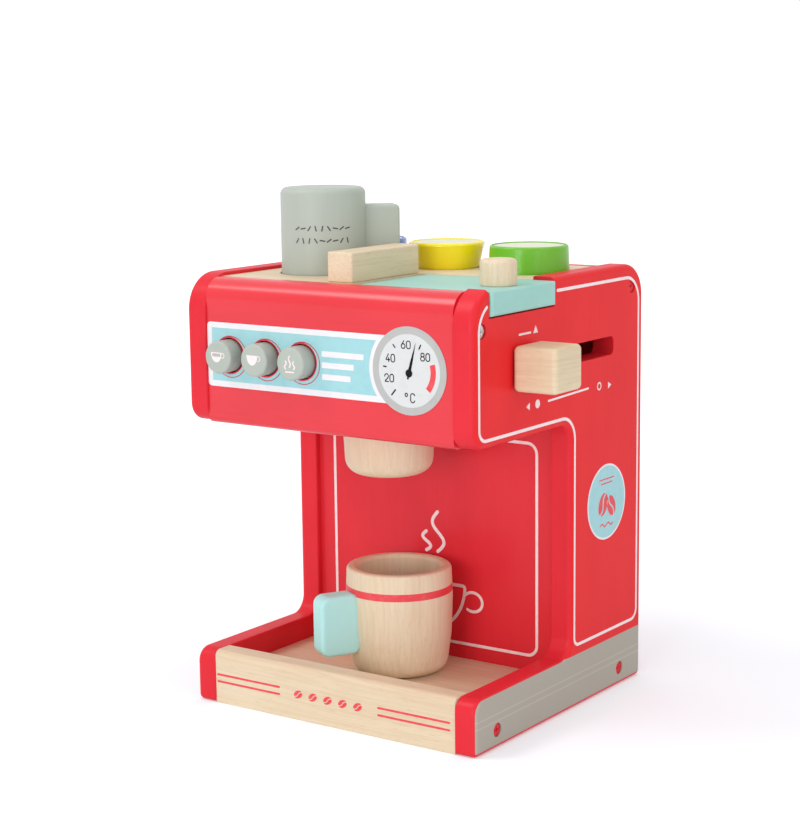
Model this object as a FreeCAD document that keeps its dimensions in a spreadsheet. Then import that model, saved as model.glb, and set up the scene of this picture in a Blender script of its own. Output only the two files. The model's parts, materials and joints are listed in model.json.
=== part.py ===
import FreeCAD, Part
import math
import os
import Sketcher

# A wooden toy coffee maker. Millimetres, +Z up, the front faces -Y and the origin is on the
# ground under the middle of the machine.

doc = FreeCAD.newDocument("ToyCoffeeMaker")
sheet = doc.addObject("Spreadsheet::Sheet", "Size")
Vector = FreeCAD.Vector

# The driving dimensions, in millimetres and degrees
SIZES = {
    # The carcass: two C-shaped side panels and the boards between them
    "width": 186,
    "depth": 176,
    "height": 240,
    "board": 13,
    "panel_round": 3,
    "inner_round": 1,
    "base_top": 30,
    "head_height": 81,
    "head_reach": 96,
    "head_front_corner": 20,
    "head_back_corner": 18,
    "chin_corner": 10,
    "base_corner": 8,
    "alcove_corner": 10,
    # The boards of the head
    "fascia_recess": 1.5,
    "fascia_thickness": 13,
    "fascia_round": 11,
    "deck_drop": 2,
    "deck_thickness": 13,
    "rear_inset": 7,
    "rear_round": 5,
    "floor_lift": 3,
    "floor_thickness": 13,
    "drop_width": 54,
    # The boards of the column and the base
    "back_wall_recess": 4,
    "back_wall_thickness": 6,
    "tray_top": 16.6,
    "rail_recess": 0.75,
    "rail_thickness": 15,
    "rail_round": 3.5,
    "return_width": 110,
    "return_height": 58,
    "return_round": 10,
    # The lid over the pod chamber, its hinge pins and its stop bar
    "lid_gap": 0.8,
    "lid_depth": 62,
    "lid_thickness": 12.5,
    "lid_overhang": 1.5,
    "lid_round": 1.5,
    "bar_side": 16,
    "bar_left": -9.2,
    "bar_setback": 2.5,
    "bar_round": 1,
    "bar_dowel_radius": 3,
    "bar_dowel_depth": 9,
    "bar_dowel_spacing": 36,
    "dowel_end_gap": 0.5,
    "stop_gap": 1.3,
    "pin_radius": 2,
    "pin_bite": 14,
    "pin_hold": 7,
    "pin_end_gap": 1,
    "pin_play": 0.05,
    "lid_knob_radius": 9.65,
    "lid_knob_height": 13.7,
    "lid_knob_round": 2.2,
    "lid_knob_from_end": 16,
    # The lever that carries a pod from the chamber to the drop
    "control_drop": 43,
    "slot_height": 10.4,
    "slot_round": 3.5,
    "slot_play": 0.5,
    "slot_end_gap": 2.3,
    "lever_front": 35,
    "lever_travel": 83,
    "stem_length": 16,
    "lever_length": 27,
    "lever_height": 23.6,
    "lever_reach": 26.5,
    "lever_round": 3,
    "lever_gap": 0.8,
    "carriage_height": 27,
    "carriage_gap": 0.4,
    "carriage_wall": 3,
    "carriage_bore": 23.2,
    "carriage_margin": 7,
    "guide_rail_width": 8,
    "guide_rail_height": 9,
    "ledge_width": 3.6,
    "ledge_gap": 2.3,
    # The three push buttons and their springs
    "button_radius": 8.8,
    "button_play": 0.7,
    "button_reach": 10.2,
    "button_round": 1.2,
    "button_pitch": 24.5,
    "first_button": 28.5,
    "collar_radius": 11,
    "collar_thickness": 3,
    "collar_gap": 0.3,
    "stem_radius": 3.2,
    "stem_play": 0.3,
    "spring_length": 15,
    "spring_radius": 5.6,
    "wire_radius": 0.5,
    "spring_turns": 4,
    "spring_play": 0.1,
    "guide_thickness": 8,
    "guide_height": 40,
    "guide_margin": 6.4,
    # The brew head, the mug and the shaker
    "brew_radius": 25.5,
    "brew_length": 32,
    "brew_round": 8,
    "brew_back": 58,
    "mug_from_wall": 34,
    "mug_base": 25,
    "mug_radius": 29.9,
    "mug_belly": 43,
    "mug_rim": 29.2,
    "mug_height": 59.8,
    "mug_wall": 4.2,
    "mug_floor": 7,
    "mug_foot_round": 7,
    "mug_well_round": 3.5,
    "mug_rim_round": 1.6,
    "mug_angle": 238,
    "grip_reach": 18.5,
    "grip_thickness": 13,
    "grip_bottom": 13.4,
    "grip_height": 32,
    "grip_round": 3,
    "shaker_radius": 23.4,
    "shaker_height": 50,
    "shaker_round": 5,
    "shaker_angle": 45,
    "shaker_grip_bottom": 9,
    "shaker_grip_height": 31,
    "shaker_left": 44,
    "shaker_back": 60,
    # The coffee pods and the shallow seats that hold them on the deck
    "seat_depth": 3,
    "seat_play": 1,
    "pod_spread": 0.675,
    "pod_radius": 22.4,
    "pod_base": 17.4,
    "pod_height": 17.7,
    "pod_round": 1.6,
    "pod_rim": 2.6,
    "pod_recess": 1.2,
    "pod_lid_thickness": 0.9,
    # The screws through the side panels
    "screw_head_radius": 3.8,
    "screw_head_height": 2.6,
    "screw_sink": 2.2,
    "screw_radius": 2,
    "screw_length": 28,
    "screw_play": 0.05,
    "screw_end_gap": 1,
    "foot_screw_height": 10,
    "front_screw_inset": 21,
    "back_screw_inset": 25,
    "head_screw_drop": 19,
    "rear_screw_drop": 10.4,
}
for row, (name, value) in enumerate(SIZES.items(), start=1):
    sheet.set("A%d" % row, name)
    sheet.set("B%d" % row, str(value))
    sheet.setAlias("B%d" % row, name)
doc.recompute()

# Places that follow from the driving dimensions
INNER = "(Size.width / 2 - Size.board)"
FRONT = "(-Size.depth / 2)"
BACK = "(Size.depth / 2)"
FASCIA_FRONT = "(-Size.depth / 2 + Size.fascia_recess)"
FASCIA_BACK = "(-Size.depth / 2 + Size.fascia_recess + Size.fascia_thickness)"
DECK_TOP = "(Size.height - Size.deck_drop)"
DECK_UNDER = "(Size.height - Size.deck_drop - Size.deck_thickness)"
REAR_BACK = "(Size.depth / 2 - Size.rear_inset)"
REAR_FRONT = "(Size.depth / 2 - Size.rear_inset - Size.board)"
COLUMN_FRONT = "(-Size.depth / 2 + Size.head_reach)"
WALL_FRONT = "(-Size.depth / 2 + Size.head_reach + Size.back_wall_recess)"
WALL_BACK = "(%s + Size.back_wall_thickness)" % WALL_FRONT
HEAD_UNDER = "(Size.height - Size.head_height)"
CONTROLS = "(Size.height - Size.control_drop)"
FLOOR_UNDER = "(%s + Size.floor_lift)" % HEAD_UNDER
FLOOR_TOP = "(%s + Size.floor_thickness)" % FLOOR_UNDER
RAIL_FRONT = "(-Size.depth / 2 + Size.rail_recess)"
RAIL_BACK = "(%s + Size.rail_thickness)" % RAIL_FRONT
LID_FRONT = "(%s + Size.lid_gap)" % FASCIA_BACK
LID_BACK = "(%s + Size.lid_depth)" % LID_FRONT
LID_MIDDLE = "(%s + Size.lid_depth / 2)" % LID_FRONT
LID_UNDER = "(%s - Size.lid_thickness)" % DECK_TOP
LID_END = "(Size.width / 2 + Size.lid_overhang)"
BAR_RIGHT = "(Size.bar_left + Size.bar_side)"
BAR_FRONT = "(%s + Size.bar_setback)" % FASCIA_BACK
BAR_MIDDLE = "(%s + Size.lid_depth / 2)" % BAR_FRONT
BAR_X = "(Size.bar_left + Size.bar_side / 2)"
AXIS_X = "(%s + Size.stop_gap + Size.lid_thickness / 2)" % BAR_RIGHT
AXIS_Z = "(%s - Size.lid_thickness / 2)" % DECK_TOP
LID_CUT = "(%s + Size.stop_gap - Size.lid_gap)" % BAR_RIGHT
POD_ROW = "((%s + %s) / 2)" % (LID_BACK, REAR_FRONT)
POD_PITCH = "(Size.pod_spread * %s)" % INNER
SHAKER_Y = "(%s + Size.shaker_back)" % FRONT
MUG_Y = "(%s - Size.mug_from_wall)" % WALL_FRONT
BREW_Y = "(%s + Size.brew_back)" % FRONT
BREW_BOTTOM = "(%s - Size.brew_length)" % FLOOR_UNDER
LEVER_FRONT = "(%s + Size.lever_front)" % FRONT
STEM_FRONT = "(%s + (Size.lever_length - Size.stem_length) / 2)" % LEVER_FRONT
SLOT_BACK = "(%s + Size.stem_length + Size.lever_travel + Size.slot_end_gap)" % STEM_FRONT
STEM_UNDER = "(%s - Size.slot_height / 2 + Size.slot_play)" % CONTROLS
STEM_HEIGHT = "(Size.slot_height - 2 * Size.slot_play)"
CARRIAGE_RIGHT = "(%s - Size.ledge_width - Size.carriage_gap)" % INNER
CARRIAGE_LEFT = "(%s - 2 * Size.carriage_margin - 2 * Size.carriage_bore)" % CARRIAGE_RIGHT
CARRIAGE_X = "((%s + %s) / 2)" % (CARRIAGE_LEFT, CARRIAGE_RIGHT)
CARRIAGE_FRONT = "(%s - Size.carriage_bore - Size.carriage_wall)" % LID_MIDDLE
CARRIAGE_BACK = "(%s + Size.carriage_bore + Size.carriage_wall)" % LID_MIDDLE
COLLAR_FRONT = "(%s + Size.collar_gap)" % FASCIA_BACK
SPRING_FRONT = "(%s + Size.collar_thickness)" % COLLAR_FRONT
GUIDE_FRONT = "(%s + Size.spring_length)" % SPRING_FRONT
SEAT = "(%s - Size.seat_depth)" % DECK_TOP
SCREWS = {
    "Head": ("(%s + %s) / 2" % (FASCIA_FRONT, FASCIA_BACK), "%s - Size.head_screw_drop" % DECK_TOP),
    "Rear": ("(%s + %s) / 2" % (REAR_FRONT, REAR_BACK), "%s - Size.rear_screw_drop" % DECK_TOP),
    "FootFront": ("%s + Size.front_screw_inset" % FRONT, "Size.foot_screw_height"),
    "FootBack": ("%s - Size.back_screw_inset" % BACK, "Size.foot_screw_height"),
}
PODS = {"blue": -1, "yellow": 0, "green": 1}
BUTTONS = ["full_cup", "half_cup", "steam"]
ALONG_X = FreeCAD.Rotation(Vector(0, 1, 0), 90)
ALONG_Y = FreeCAD.Rotation(Vector(-1, 0, 0), 90)
UPRIGHT = FreeCAD.Rotation()
OVERCUT = "1"
RIM_SHARE = "0.65"
SAMPLES_PER_TURN = 40
nodes = []


def number(name):
    """The value of one driving dimension."""
    return float(sheet.get(name))


def same(value, other):
    """Whether two lengths agree to a hundredth of a millimetre."""
    return round(value - other, 2) == 0


def body(label):
    """Start the body of one piece."""
    piece = doc.addObject("PartDesign::Body", label)
    piece.Label = label
    nodes.append(piece)
    return piece


def bind(feature, **formulas):
    """Bind properties of a feature to formulas; x, y and z stand for its place."""
    for name, formula in formulas.items():
        path = "Placement.Base." + name if name in ("x", "y", "z") else name
        feature.setExpression(path, formula)
    return feature


def box(piece, name, x, y, z, cut=False):
    """A box from the first to the second formula along each axis."""
    kind = "PartDesign::SubtractiveBox" if cut else "PartDesign::AdditiveBox"
    feature = piece.newObject(kind, name)
    bind(feature, x=x[0], y=y[0], z=z[0])
    for side, span in (("Length", x), ("Width", y), ("Height", z)):
        feature.setExpression(side, "(%s) - (%s)" % (span[1], span[0]))
    doc.recompute()
    return feature


def cylinder(piece, name, radius, length, start, turn=UPRIGHT, cut=False):
    """A cylinder of a radius and length, from its start point along the turned Z axis."""
    kind = "PartDesign::SubtractiveCylinder" if cut else "PartDesign::AdditiveCylinder"
    feature = piece.newObject(kind, name)
    feature.Placement = FreeCAD.Placement(Vector(), turn)
    bind(feature, Radius=radius, Height=length, x=start[0], y=start[1], z=start[2])
    doc.recompute()
    return feature


def outline(piece, name, plane, points, offset):
    """A closed sketch through points given as two formulas each, shifted by three formulas."""
    base = [part for part in piece.Origin.OriginFeatures if part.Role == plane][0]
    sketch = piece.newObject("Sketcher::SketchObject", name)
    sketch.AttachmentSupport = [(base, "")]
    sketch.MapMode = "FlatFace"
    for axis, formula in zip("xyz", offset):
        sketch.setExpression("AttachmentOffset.Base." + axis, formula)
    corners = []
    for u, v in points:
        spot = doc.addObject("App::FeaturePython", "Spot")
        spot.addProperty("App::PropertyFloat", "u")
        spot.addProperty("App::PropertyFloat", "v")
        spot.setExpression("u", u)
        spot.setExpression("v", v)
        doc.recompute()
        corners.append(Vector(spot.u, spot.v, 0))
        doc.removeObject(spot.Name)
    count = len(corners)
    for i in range(count):
        sketch.addGeometry(Part.LineSegment(corners[i], corners[(i + 1) % count]), False)
    for i in range(count):
        sketch.addConstraint(Sketcher.Constraint("Coincident", i, 2, (i + 1) % count, 1))
    for i, (u, v) in enumerate(points):
        for kind, key, value, formula in (
            ("DistanceX", "u", corners[i].x, u),
            ("DistanceY", "v", corners[i].y, v),
        ):
            index = sketch.addConstraint(Sketcher.Constraint(kind, -1, 1, i, 1, value))
            sketch.renameConstraint(index, "%s%d" % (key, i))
            sketch.setExpression("Constraints.%s%d" % (key, i), formula)
    doc.recompute()
    return sketch


def turned(piece, name, points, centre):
    """A piece turned on a lathe: an outline of radius and height spun about its own axis."""
    across, back, up = centre
    sketch = outline(piece, name + "Outline", "XZ_Plane", points, (across, up, "-(%s)" % back))
    feature = piece.newObject("PartDesign::Revolution", name)
    feature.Profile = sketch
    feature.ReferenceAxis = (sketch, ["V_Axis"])
    feature.Angle = 360
    doc.recompute()
    return feature


def soften(piece, name, radius, wanted):
    """Round the edges of a piece for which wanted(edge) holds."""
    base = piece.Tip
    names = ["Edge%d" % (i + 1) for i, edge in enumerate(base.Shape.Edges) if wanted(edge)]
    feature = piece.newObject("PartDesign::Fillet", name)
    feature.Base = (base, names)
    feature.setExpression("Radius", radius)
    doc.recompute()
    return feature


def straight(edge, axis):
    """Whether an edge is a straight line along one axis."""
    ends = [vertex.Point for vertex in edge.Vertexes]
    return len(ends) == 2 and same(abs((ends[1] - ends[0])[axis]), edge.Length)


def middle(edge):
    """The middle of an edge's box."""
    return edge.BoundBox.Center


def on_plane(edge, axis, value):
    """Whether an edge lies in the plane across one axis at a value."""
    low = (edge.BoundBox.XMin, edge.BoundBox.YMin, edge.BoundBox.ZMin)[axis]
    high = (edge.BoundBox.XMax, edge.BoundBox.YMax, edge.BoundBox.ZMax)[axis]
    return same(low, value) and same(high, value)


def past(low, high):
    """A span that runs a little past both of its ends, for a cut that goes right through."""
    return ("%s - %s" % (low, OVERCUT), "%s + %s" % (high, OVERCUT))


def screw_bores(piece, names, start, length):
    """Bores along X for the shanks of the named screws."""
    for name in names:
        y, z = SCREWS[name]
        radius = "Size.screw_radius + Size.screw_play"
        cylinder(piece, name + "Bore", radius, length, (start, y, z), ALONG_X, cut=True)


def side_panel(label, side):
    """A C-shaped panel; side is -1 for the left one and 1 for the right one."""
    piece = body(label)
    start = "-Size.width / 2" if side < 0 else INNER
    points = [
        (FRONT, "0"),
        (BACK, "0"),
        (BACK, "Size.height"),
        (FRONT, "Size.height"),
        (FRONT, HEAD_UNDER),
        (COLUMN_FRONT, HEAD_UNDER),
        (COLUMN_FRONT, "Size.base_top"),
        (FRONT, "Size.base_top"),
    ]
    sketch = outline(piece, "Outline", "YZ_Plane", points, ("0", "0", start))
    pad = piece.newObject("PartDesign::Pad", "Panel")
    pad.Profile = sketch
    pad.setExpression("Length", "Size.board")
    doc.recompute()
    front = -number("depth") / 2
    back = number("depth") / 2
    top = number("height")

    def corner(y, z):
        return lambda edge: (
            straight(edge, 0) and same(middle(edge).y, y) and same(middle(edge).z, z)
        )

    column = front + number("head_reach")
    underside = top - number("head_height")
    step = number("base_top")
    soften(piece, "HeadFrontCorner", "Size.head_front_corner", corner(front, top))
    soften(piece, "HeadBackCorner", "Size.head_back_corner", corner(back, top))
    soften(piece, "ChinCorner", "Size.chin_corner", corner(front, underside))
    soften(piece, "BaseCorner", "Size.base_corner", corner(front, step))
    soften(piece, "UpperAlcoveCorner", "Size.alcove_corner", corner(column, underside))
    soften(piece, "LowerAlcoveCorner", "Size.alcove_corner", corner(column, step))
    soften(piece, "FrontFootCorner", "Size.panel_round", corner(front, 0))
    soften(piece, "BackFootCorner", "Size.panel_round", corner(back, 0))
    outer = side * number("width") / 2
    inner = side * (number("width") / 2 - number("board"))
    soften(piece, "OuterRound", "Size.panel_round", lambda edge: on_plane(edge, 0, outer))
    soften(piece, "InnerRound", "Size.inner_round", lambda edge: on_plane(edge, 0, inner))
    screw_bores(piece, SCREWS, start, "Size.board")
    for name, (y, z) in SCREWS.items():
        depth = "Size.screw_sink + Size.screw_head_height"
        mouth = "Size.width / 2 - Size.screw_sink - Size.screw_head_height"
        begin = "-Size.width / 2" if side < 0 else mouth
        radius = "Size.screw_head_radius + Size.screw_play"
        cylinder(piece, name + "Sink", radius, depth, (begin, y, z), ALONG_X, cut=True)
    return piece


def carcass():
    """The fixed boards of the machine."""
    side_panel("left_side_panel", -1)
    right = side_panel("right_side_panel", 1)
    notch_y = ("%s - Size.lid_gap" % LID_FRONT, "%s + Size.lid_gap" % LID_BACK)
    notch_z = past("%s - Size.lid_gap + %s" % (LID_UNDER, OVERCUT), "Size.height")
    panel_x = past(INNER, "Size.width / 2")
    box(right, "LidNotch", panel_x, notch_y, notch_z, cut=True)
    slot_y = ("%s - Size.slot_play" % STEM_FRONT, SLOT_BACK)
    half = "Size.slot_height / 2"
    slot_z = ("%s - %s" % (CONTROLS, half), "%s + %s" % (CONTROLS, half))
    box(right, "LeverSlot", panel_x, slot_y, slot_z, cut=True)
    low = number("height") - number("control_drop") - number("slot_height") / 2
    high = low + number("slot_height")

    def slot_corner(edge):
        height = middle(edge).z
        return straight(edge, 0) and (same(height, low) or same(height, high))

    soften(right, "SlotRound", "Size.slot_round", slot_corner)

    fascia = body("front_fascia")
    across = ("-" + INNER, INNER)
    box(fascia, "Board", across, (FASCIA_FRONT, FASCIA_BACK), (HEAD_UNDER, DECK_TOP))
    face = -number("depth") / 2 + number("fascia_recess")
    lid = number("height") - number("deck_drop")
    under = number("height") - number("head_height")
    soften(
        fascia, "TopRound", "Size.fascia_round",
        lambda edge: on_plane(edge, 1, face) and on_plane(edge, 2, lid),
    )
    soften(
        fascia, "LowerRound", "Size.rail_round",
        lambda edge: on_plane(edge, 1, face) and on_plane(edge, 2, under),
    )
    for i, name in enumerate(BUTTONS):
        start = (button_x(i), FASCIA_FRONT, CONTROLS)
        cylinder(
            fascia, "Bore%d" % i, "Size.button_radius + Size.button_play",
            "Size.fascia_thickness", start, ALONG_Y, cut=True,
        )
    pin_start = "%s - Size.pin_hold" % FASCIA_BACK
    cylinder(
        fascia, "PinBore", "Size.pin_radius + Size.pin_play", "Size.pin_hold",
        (AXIS_X, pin_start, AXIS_Z), ALONG_Y, cut=True,
    )
    board_screws(fascia, ["Head"])

    deck = body("top_deck")
    box(deck, "Board", across, (FASCIA_BACK, REAR_FRONT), (DECK_UNDER, DECK_TOP))
    box(
        deck, "LidOpening", (LID_CUT, INNER), (FASCIA_BACK, "%s + Size.lid_gap" % LID_BACK),
        past(DECK_UNDER, DECK_TOP), cut=True,
    )
    for colour, place in PODS.items():
        base = "Size.pod_base" if colour == "yellow" else "Size.pod_radius"
        centre = ("%d * %s" % (place, POD_PITCH), POD_ROW, SEAT)
        radius = base + " + Size.seat_play"
        cylinder(deck, colour.title() + "Seat", radius, "Size.seat_depth", centre, cut=True)
    cylinder(
        deck, "ShakerSeat", "Size.shaker_radius + Size.seat_play", "Size.seat_depth",
        ("-Size.shaker_left", SHAKER_Y, SEAT), cut=True,
    )
    cylinder(
        deck, "PinBore", "Size.pin_radius + Size.pin_play", "Size.pin_hold",
        (AXIS_X, "%s + Size.lid_gap" % LID_BACK, AXIS_Z), ALONG_Y, cut=True,
    )
    for i, sign in enumerate("-+"):
        spot = "%s %s Size.bar_dowel_spacing / 2" % (BAR_MIDDLE, sign)
        cylinder(
            deck, "DowelBore%d" % i, "Size.bar_dowel_radius + Size.pin_play",
            "Size.bar_dowel_depth", (BAR_X, spot, "%s - Size.bar_dowel_depth" % DECK_TOP),
            cut=True,
        )

    rear = body("rear_panel")
    box(rear, "Board", across, (REAR_FRONT, REAR_BACK), ("0", DECK_TOP))
    rim = number("depth") / 2 - number("rear_inset")
    soften(
        rear, "TopRound", "Size.rear_round",
        lambda edge: on_plane(edge, 1, rim) and on_plane(edge, 2, lid),
    )
    box(
        rear, "PodReturn", ("-Size.return_width / 2", "Size.return_width / 2"),
        past(REAR_FRONT, REAR_BACK),
        ("Size.tray_top", "Size.tray_top + Size.return_height"), cut=True,
    )
    ceiling = number("tray_top") + number("return_height")
    soften(
        rear, "ReturnRound", "Size.return_round",
        lambda edge: straight(edge, 1) and same(middle(edge).z, ceiling),
    )
    board_screws(rear, ["Rear"])

    floor = body("head_floor")
    box(floor, "Board", across, (FASCIA_BACK, REAR_FRONT), (FLOOR_UNDER, FLOOR_TOP))
    drop = ("%s - Size.drop_width / 2" % CARRIAGE_X, "%s + Size.drop_width / 2" % CARRIAGE_X)
    box(
        floor, "DropOpening", drop, (WALL_BACK, REAR_FRONT), past(FLOOR_UNDER, FLOOR_TOP),
        cut=True,
    )

    wall = body("back_wall")
    box(wall, "Board", across, (WALL_FRONT, WALL_BACK), ("Size.tray_top", FLOOR_UNDER))

    tray = body("base_board")
    box(tray, "Board", across, (RAIL_BACK, REAR_FRONT), ("0", "Size.tray_top"))
    board_screws(tray, ["FootFront", "FootBack"])

    rail = body("front_rail")
    box(rail, "Board", across, (RAIL_FRONT, RAIL_BACK), ("0", "Size.base_top"))
    soften(
        rail, "TopRound", "Size.rail_round",
        lambda edge: straight(edge, 0) and on_plane(edge, 2, number("base_top")),
    )


def board_screws(piece, names):
    """The pilot bores of the named screws at both ends of a board."""
    bite = "(Size.screw_length + Size.screw_sink - Size.board + Size.screw_end_gap)"
    screw_bores(piece, names, "-" + INNER, bite)
    for name in names:
        y, z = SCREWS[name]
        radius = "Size.screw_radius + Size.screw_play"
        start = ("%s - %s" % (INNER, bite), y, z)
        cylinder(piece, name + "RightBore", radius, bite, start, ALONG_X, cut=True)


def button_x(index):
    """The place of a button across the front, counted from the left."""
    return "(-Size.width / 2 + Size.first_button + %d * Size.button_pitch)" % index


def screws():
    """Eight equal countersunk screws, four in each side panel, as one group."""
    solids = []
    for side in (-1, 1):
        for name, (y, z) in SCREWS.items():
            turn = ALONG_X if side < 0 else FreeCAD.Rotation(Vector(0, 1, 0), -90)
            face = "%d * (Size.width / 2 - Size.screw_sink)" % side
            head = doc.addObject("Part::Cone", "ScrewHead")
            head.Placement = FreeCAD.Placement(Vector(), turn)
            bind(head, Radius1="Size.screw_head_radius", Radius2="Size.screw_radius")
            bind(head, Height="Size.screw_head_height", x=face, y=y, z=z)
            shank = doc.addObject("Part::Cylinder", "ScrewShank")
            shank.Placement = FreeCAD.Placement(Vector(), turn)
            bind(shank, Radius="Size.screw_radius", Height="Size.screw_length", x=face, y=y, z=z)
            screw = doc.addObject("Part::Fuse", "Screw")
            screw.Base = head
            screw.Tool = shank
            solids.append(screw)
    group = doc.addObject("Part::Compound", "panel_screws")
    group.Label = "panel_screws"
    group.Links = solids
    nodes.append(group)
    doc.recompute()


def lid():
    """The lid board with its round knob, the pins that it turns on and the bar that stops it."""
    board = body("lid_board")
    box(board, "Board", (AXIS_X, LID_END), (LID_FRONT, LID_BACK), (LID_UNDER, DECK_TOP))
    end = number("width") / 2 + number("lid_overhang")
    soften(board, "EndRound", "Size.lid_round", lambda edge: on_plane(edge, 0, end))
    barrel = (AXIS_X, LID_FRONT, AXIS_Z)
    cylinder(board, "Barrel", "Size.lid_thickness / 2", "Size.lid_depth", barrel, ALONG_Y)
    bore = "Size.pin_radius + Size.pin_play"
    cylinder(board, "FrontBore", bore, "Size.pin_bite", barrel, ALONG_Y, cut=True)
    far = (AXIS_X, "%s - Size.pin_bite" % LID_BACK, AXIS_Z)
    cylinder(board, "BackBore", bore, "Size.pin_bite", far, ALONG_Y, cut=True)

    knob = body("lid_knob")
    centre = ("%s - Size.lid_knob_from_end" % LID_END, LID_MIDDLE, DECK_TOP)
    cylinder(knob, "Knob", "Size.lid_knob_radius", "Size.lid_knob_height", centre)
    top = number("height") - number("deck_drop") + number("lid_knob_height")
    soften(knob, "TopRound", "Size.lid_knob_round", lambda edge: on_plane(edge, 2, top))

    pins = []
    front = "%s - Size.pin_hold" % FASCIA_BACK
    back = "%s - Size.pin_bite + Size.pin_end_gap" % LID_BACK
    length = "Size.pin_hold + Size.lid_gap + Size.pin_bite - Size.pin_end_gap"
    for start in (front, back):
        pin = doc.addObject("Part::Cylinder", "Pin")
        pin.Placement = FreeCAD.Placement(Vector(), ALONG_Y)
        bind(pin, Radius="Size.pin_radius", Height=length, x=AXIS_X, y=start, z=AXIS_Z)
        pins.append(pin)
    group = doc.addObject("Part::Compound", "hinge_pins")
    group.Label = "hinge_pins"
    group.Links = pins
    nodes.append(group)

    bar = body("hinge_bar")
    bar_y = (BAR_FRONT, "%s + Size.lid_depth" % BAR_FRONT)
    bar_x = ("Size.bar_left", BAR_RIGHT)
    box(bar, "Bar", bar_x, bar_y, (DECK_TOP, "%s + Size.bar_side" % DECK_TOP))
    soften(bar, "Round", "Size.bar_round", lambda edge: True)
    dowels = []
    for i, sign in enumerate("-+"):
        spot = "%s %s Size.bar_dowel_spacing / 2" % (BAR_MIDDLE, sign)
        bore = "Size.bar_dowel_radius + Size.pin_play"
        start = (BAR_X, spot, DECK_TOP)
        cylinder(bar, "DowelBore%d" % i, bore, "Size.bar_dowel_depth", start, cut=True)
        dowel = doc.addObject("Part::Cylinder", "Dowel")
        depth = "(Size.bar_dowel_depth - Size.dowel_end_gap)"
        bind(dowel, Radius="Size.bar_dowel_radius", Height="2 * %s" % depth)
        bind(dowel, x=BAR_X, y=spot, z="%s - %s" % (DECK_TOP, depth))
        dowels.append(dowel)
    group = doc.addObject("Part::Compound", "bar_dowels")
    group.Label = "bar_dowels"
    group.Links = dowels
    nodes.append(group)
    doc.recompute()


def lever():
    """The lever block, its flat stem through the slot and the carriage it pushes, on its rails."""
    block = body("lever_knob")
    near = "Size.width / 2 + Size.lever_gap"
    box(
        block, "Block", (near, "Size.width / 2 + Size.lever_reach"),
        (LEVER_FRONT, "%s + Size.lever_length" % LEVER_FRONT),
        (CONTROLS + " - Size.lever_height / 2", CONTROLS + " + Size.lever_height / 2"),
    )
    soften(block, "Round", "Size.lever_round", lambda edge: True)

    stem = body("lever_stem")
    box(
        stem, "Stem", (CARRIAGE_RIGHT, near), (STEM_FRONT, "%s + Size.stem_length" % STEM_FRONT),
        (STEM_UNDER, "%s + %s" % (STEM_UNDER, STEM_HEIGHT)),
    )
    stem_round = "Size.slot_round - Size.slot_play"
    soften(stem, "Round", stem_round, lambda edge: straight(edge, 0))

    carriage = body("pod_carriage")
    carriage_under = "%s + Size.carriage_gap" % FLOOR_TOP
    box(
        carriage, "Block", (CARRIAGE_LEFT, CARRIAGE_RIGHT), (CARRIAGE_FRONT, CARRIAGE_BACK),
        (carriage_under, "%s + Size.carriage_height" % FLOOR_TOP),
    )
    centre = (CARRIAGE_X, LID_MIDDLE, FLOOR_TOP)
    cylinder(carriage, "PodBore", "Size.carriage_bore", "Size.carriage_height", centre, cut=True)

    rail = body("carriage_rail")
    rail_right = "(%s - Size.carriage_gap)" % CARRIAGE_LEFT
    box(
        rail, "Rail", ("%s - Size.guide_rail_width" % rail_right, rail_right),
        (FASCIA_BACK, REAR_FRONT), (FLOOR_TOP, "%s + Size.guide_rail_height" % FLOOR_TOP),
    )

    ledge = body("carriage_ledge")
    box(
        ledge, "Ledge", ("%s - Size.ledge_width" % INNER, INNER),
        (FASCIA_BACK, REAR_FRONT), (FLOOR_TOP, "%s - Size.ledge_gap" % STEM_UNDER),
    )


def half_turn_arcs(points, tangents):
    """Two arcs from each point to the next, which meet both tangents."""
    edges = []
    for i in range(len(points) - 1):
        start, end = points[i], points[i + 1]
        leave, arrive = tangents[i], tangents[i + 1]
        chord = end - start
        reach = chord.dot(leave + arrive)
        bend = 2 * (1 - leave.dot(arrive))
        step = (math.sqrt(reach ** 2 + bend * chord.dot(chord)) - reach) / bend
        first = start + leave * step
        second = end - arrive * step
        joint = (first + second) * 0.5
        for a, b, apex in ((start, joint, first), (joint, end, second)):
            base = (a + b) * 0.5
            rise = (apex - base).Length
            half = (b - a).Length / 2
            sag = half * math.tan(math.atan2(rise, half) / 2)
            edges.append(Part.Arc(a, base + (apex - base) * (sag / rise), b).toShape())
    return Part.Wire(edges)


def least_gap(path, turns):
    """The least distance between points of a wound path that lie over half a turn apart."""
    points = path.discretize(Number=turns * SAMPLES_PER_TURN)
    apart = SAMPLES_PER_TURN // 2
    return min(
        point.distanceToPoint(other)
        for i, point in enumerate(points)
        for other in points[i + apart:]
    )


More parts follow.
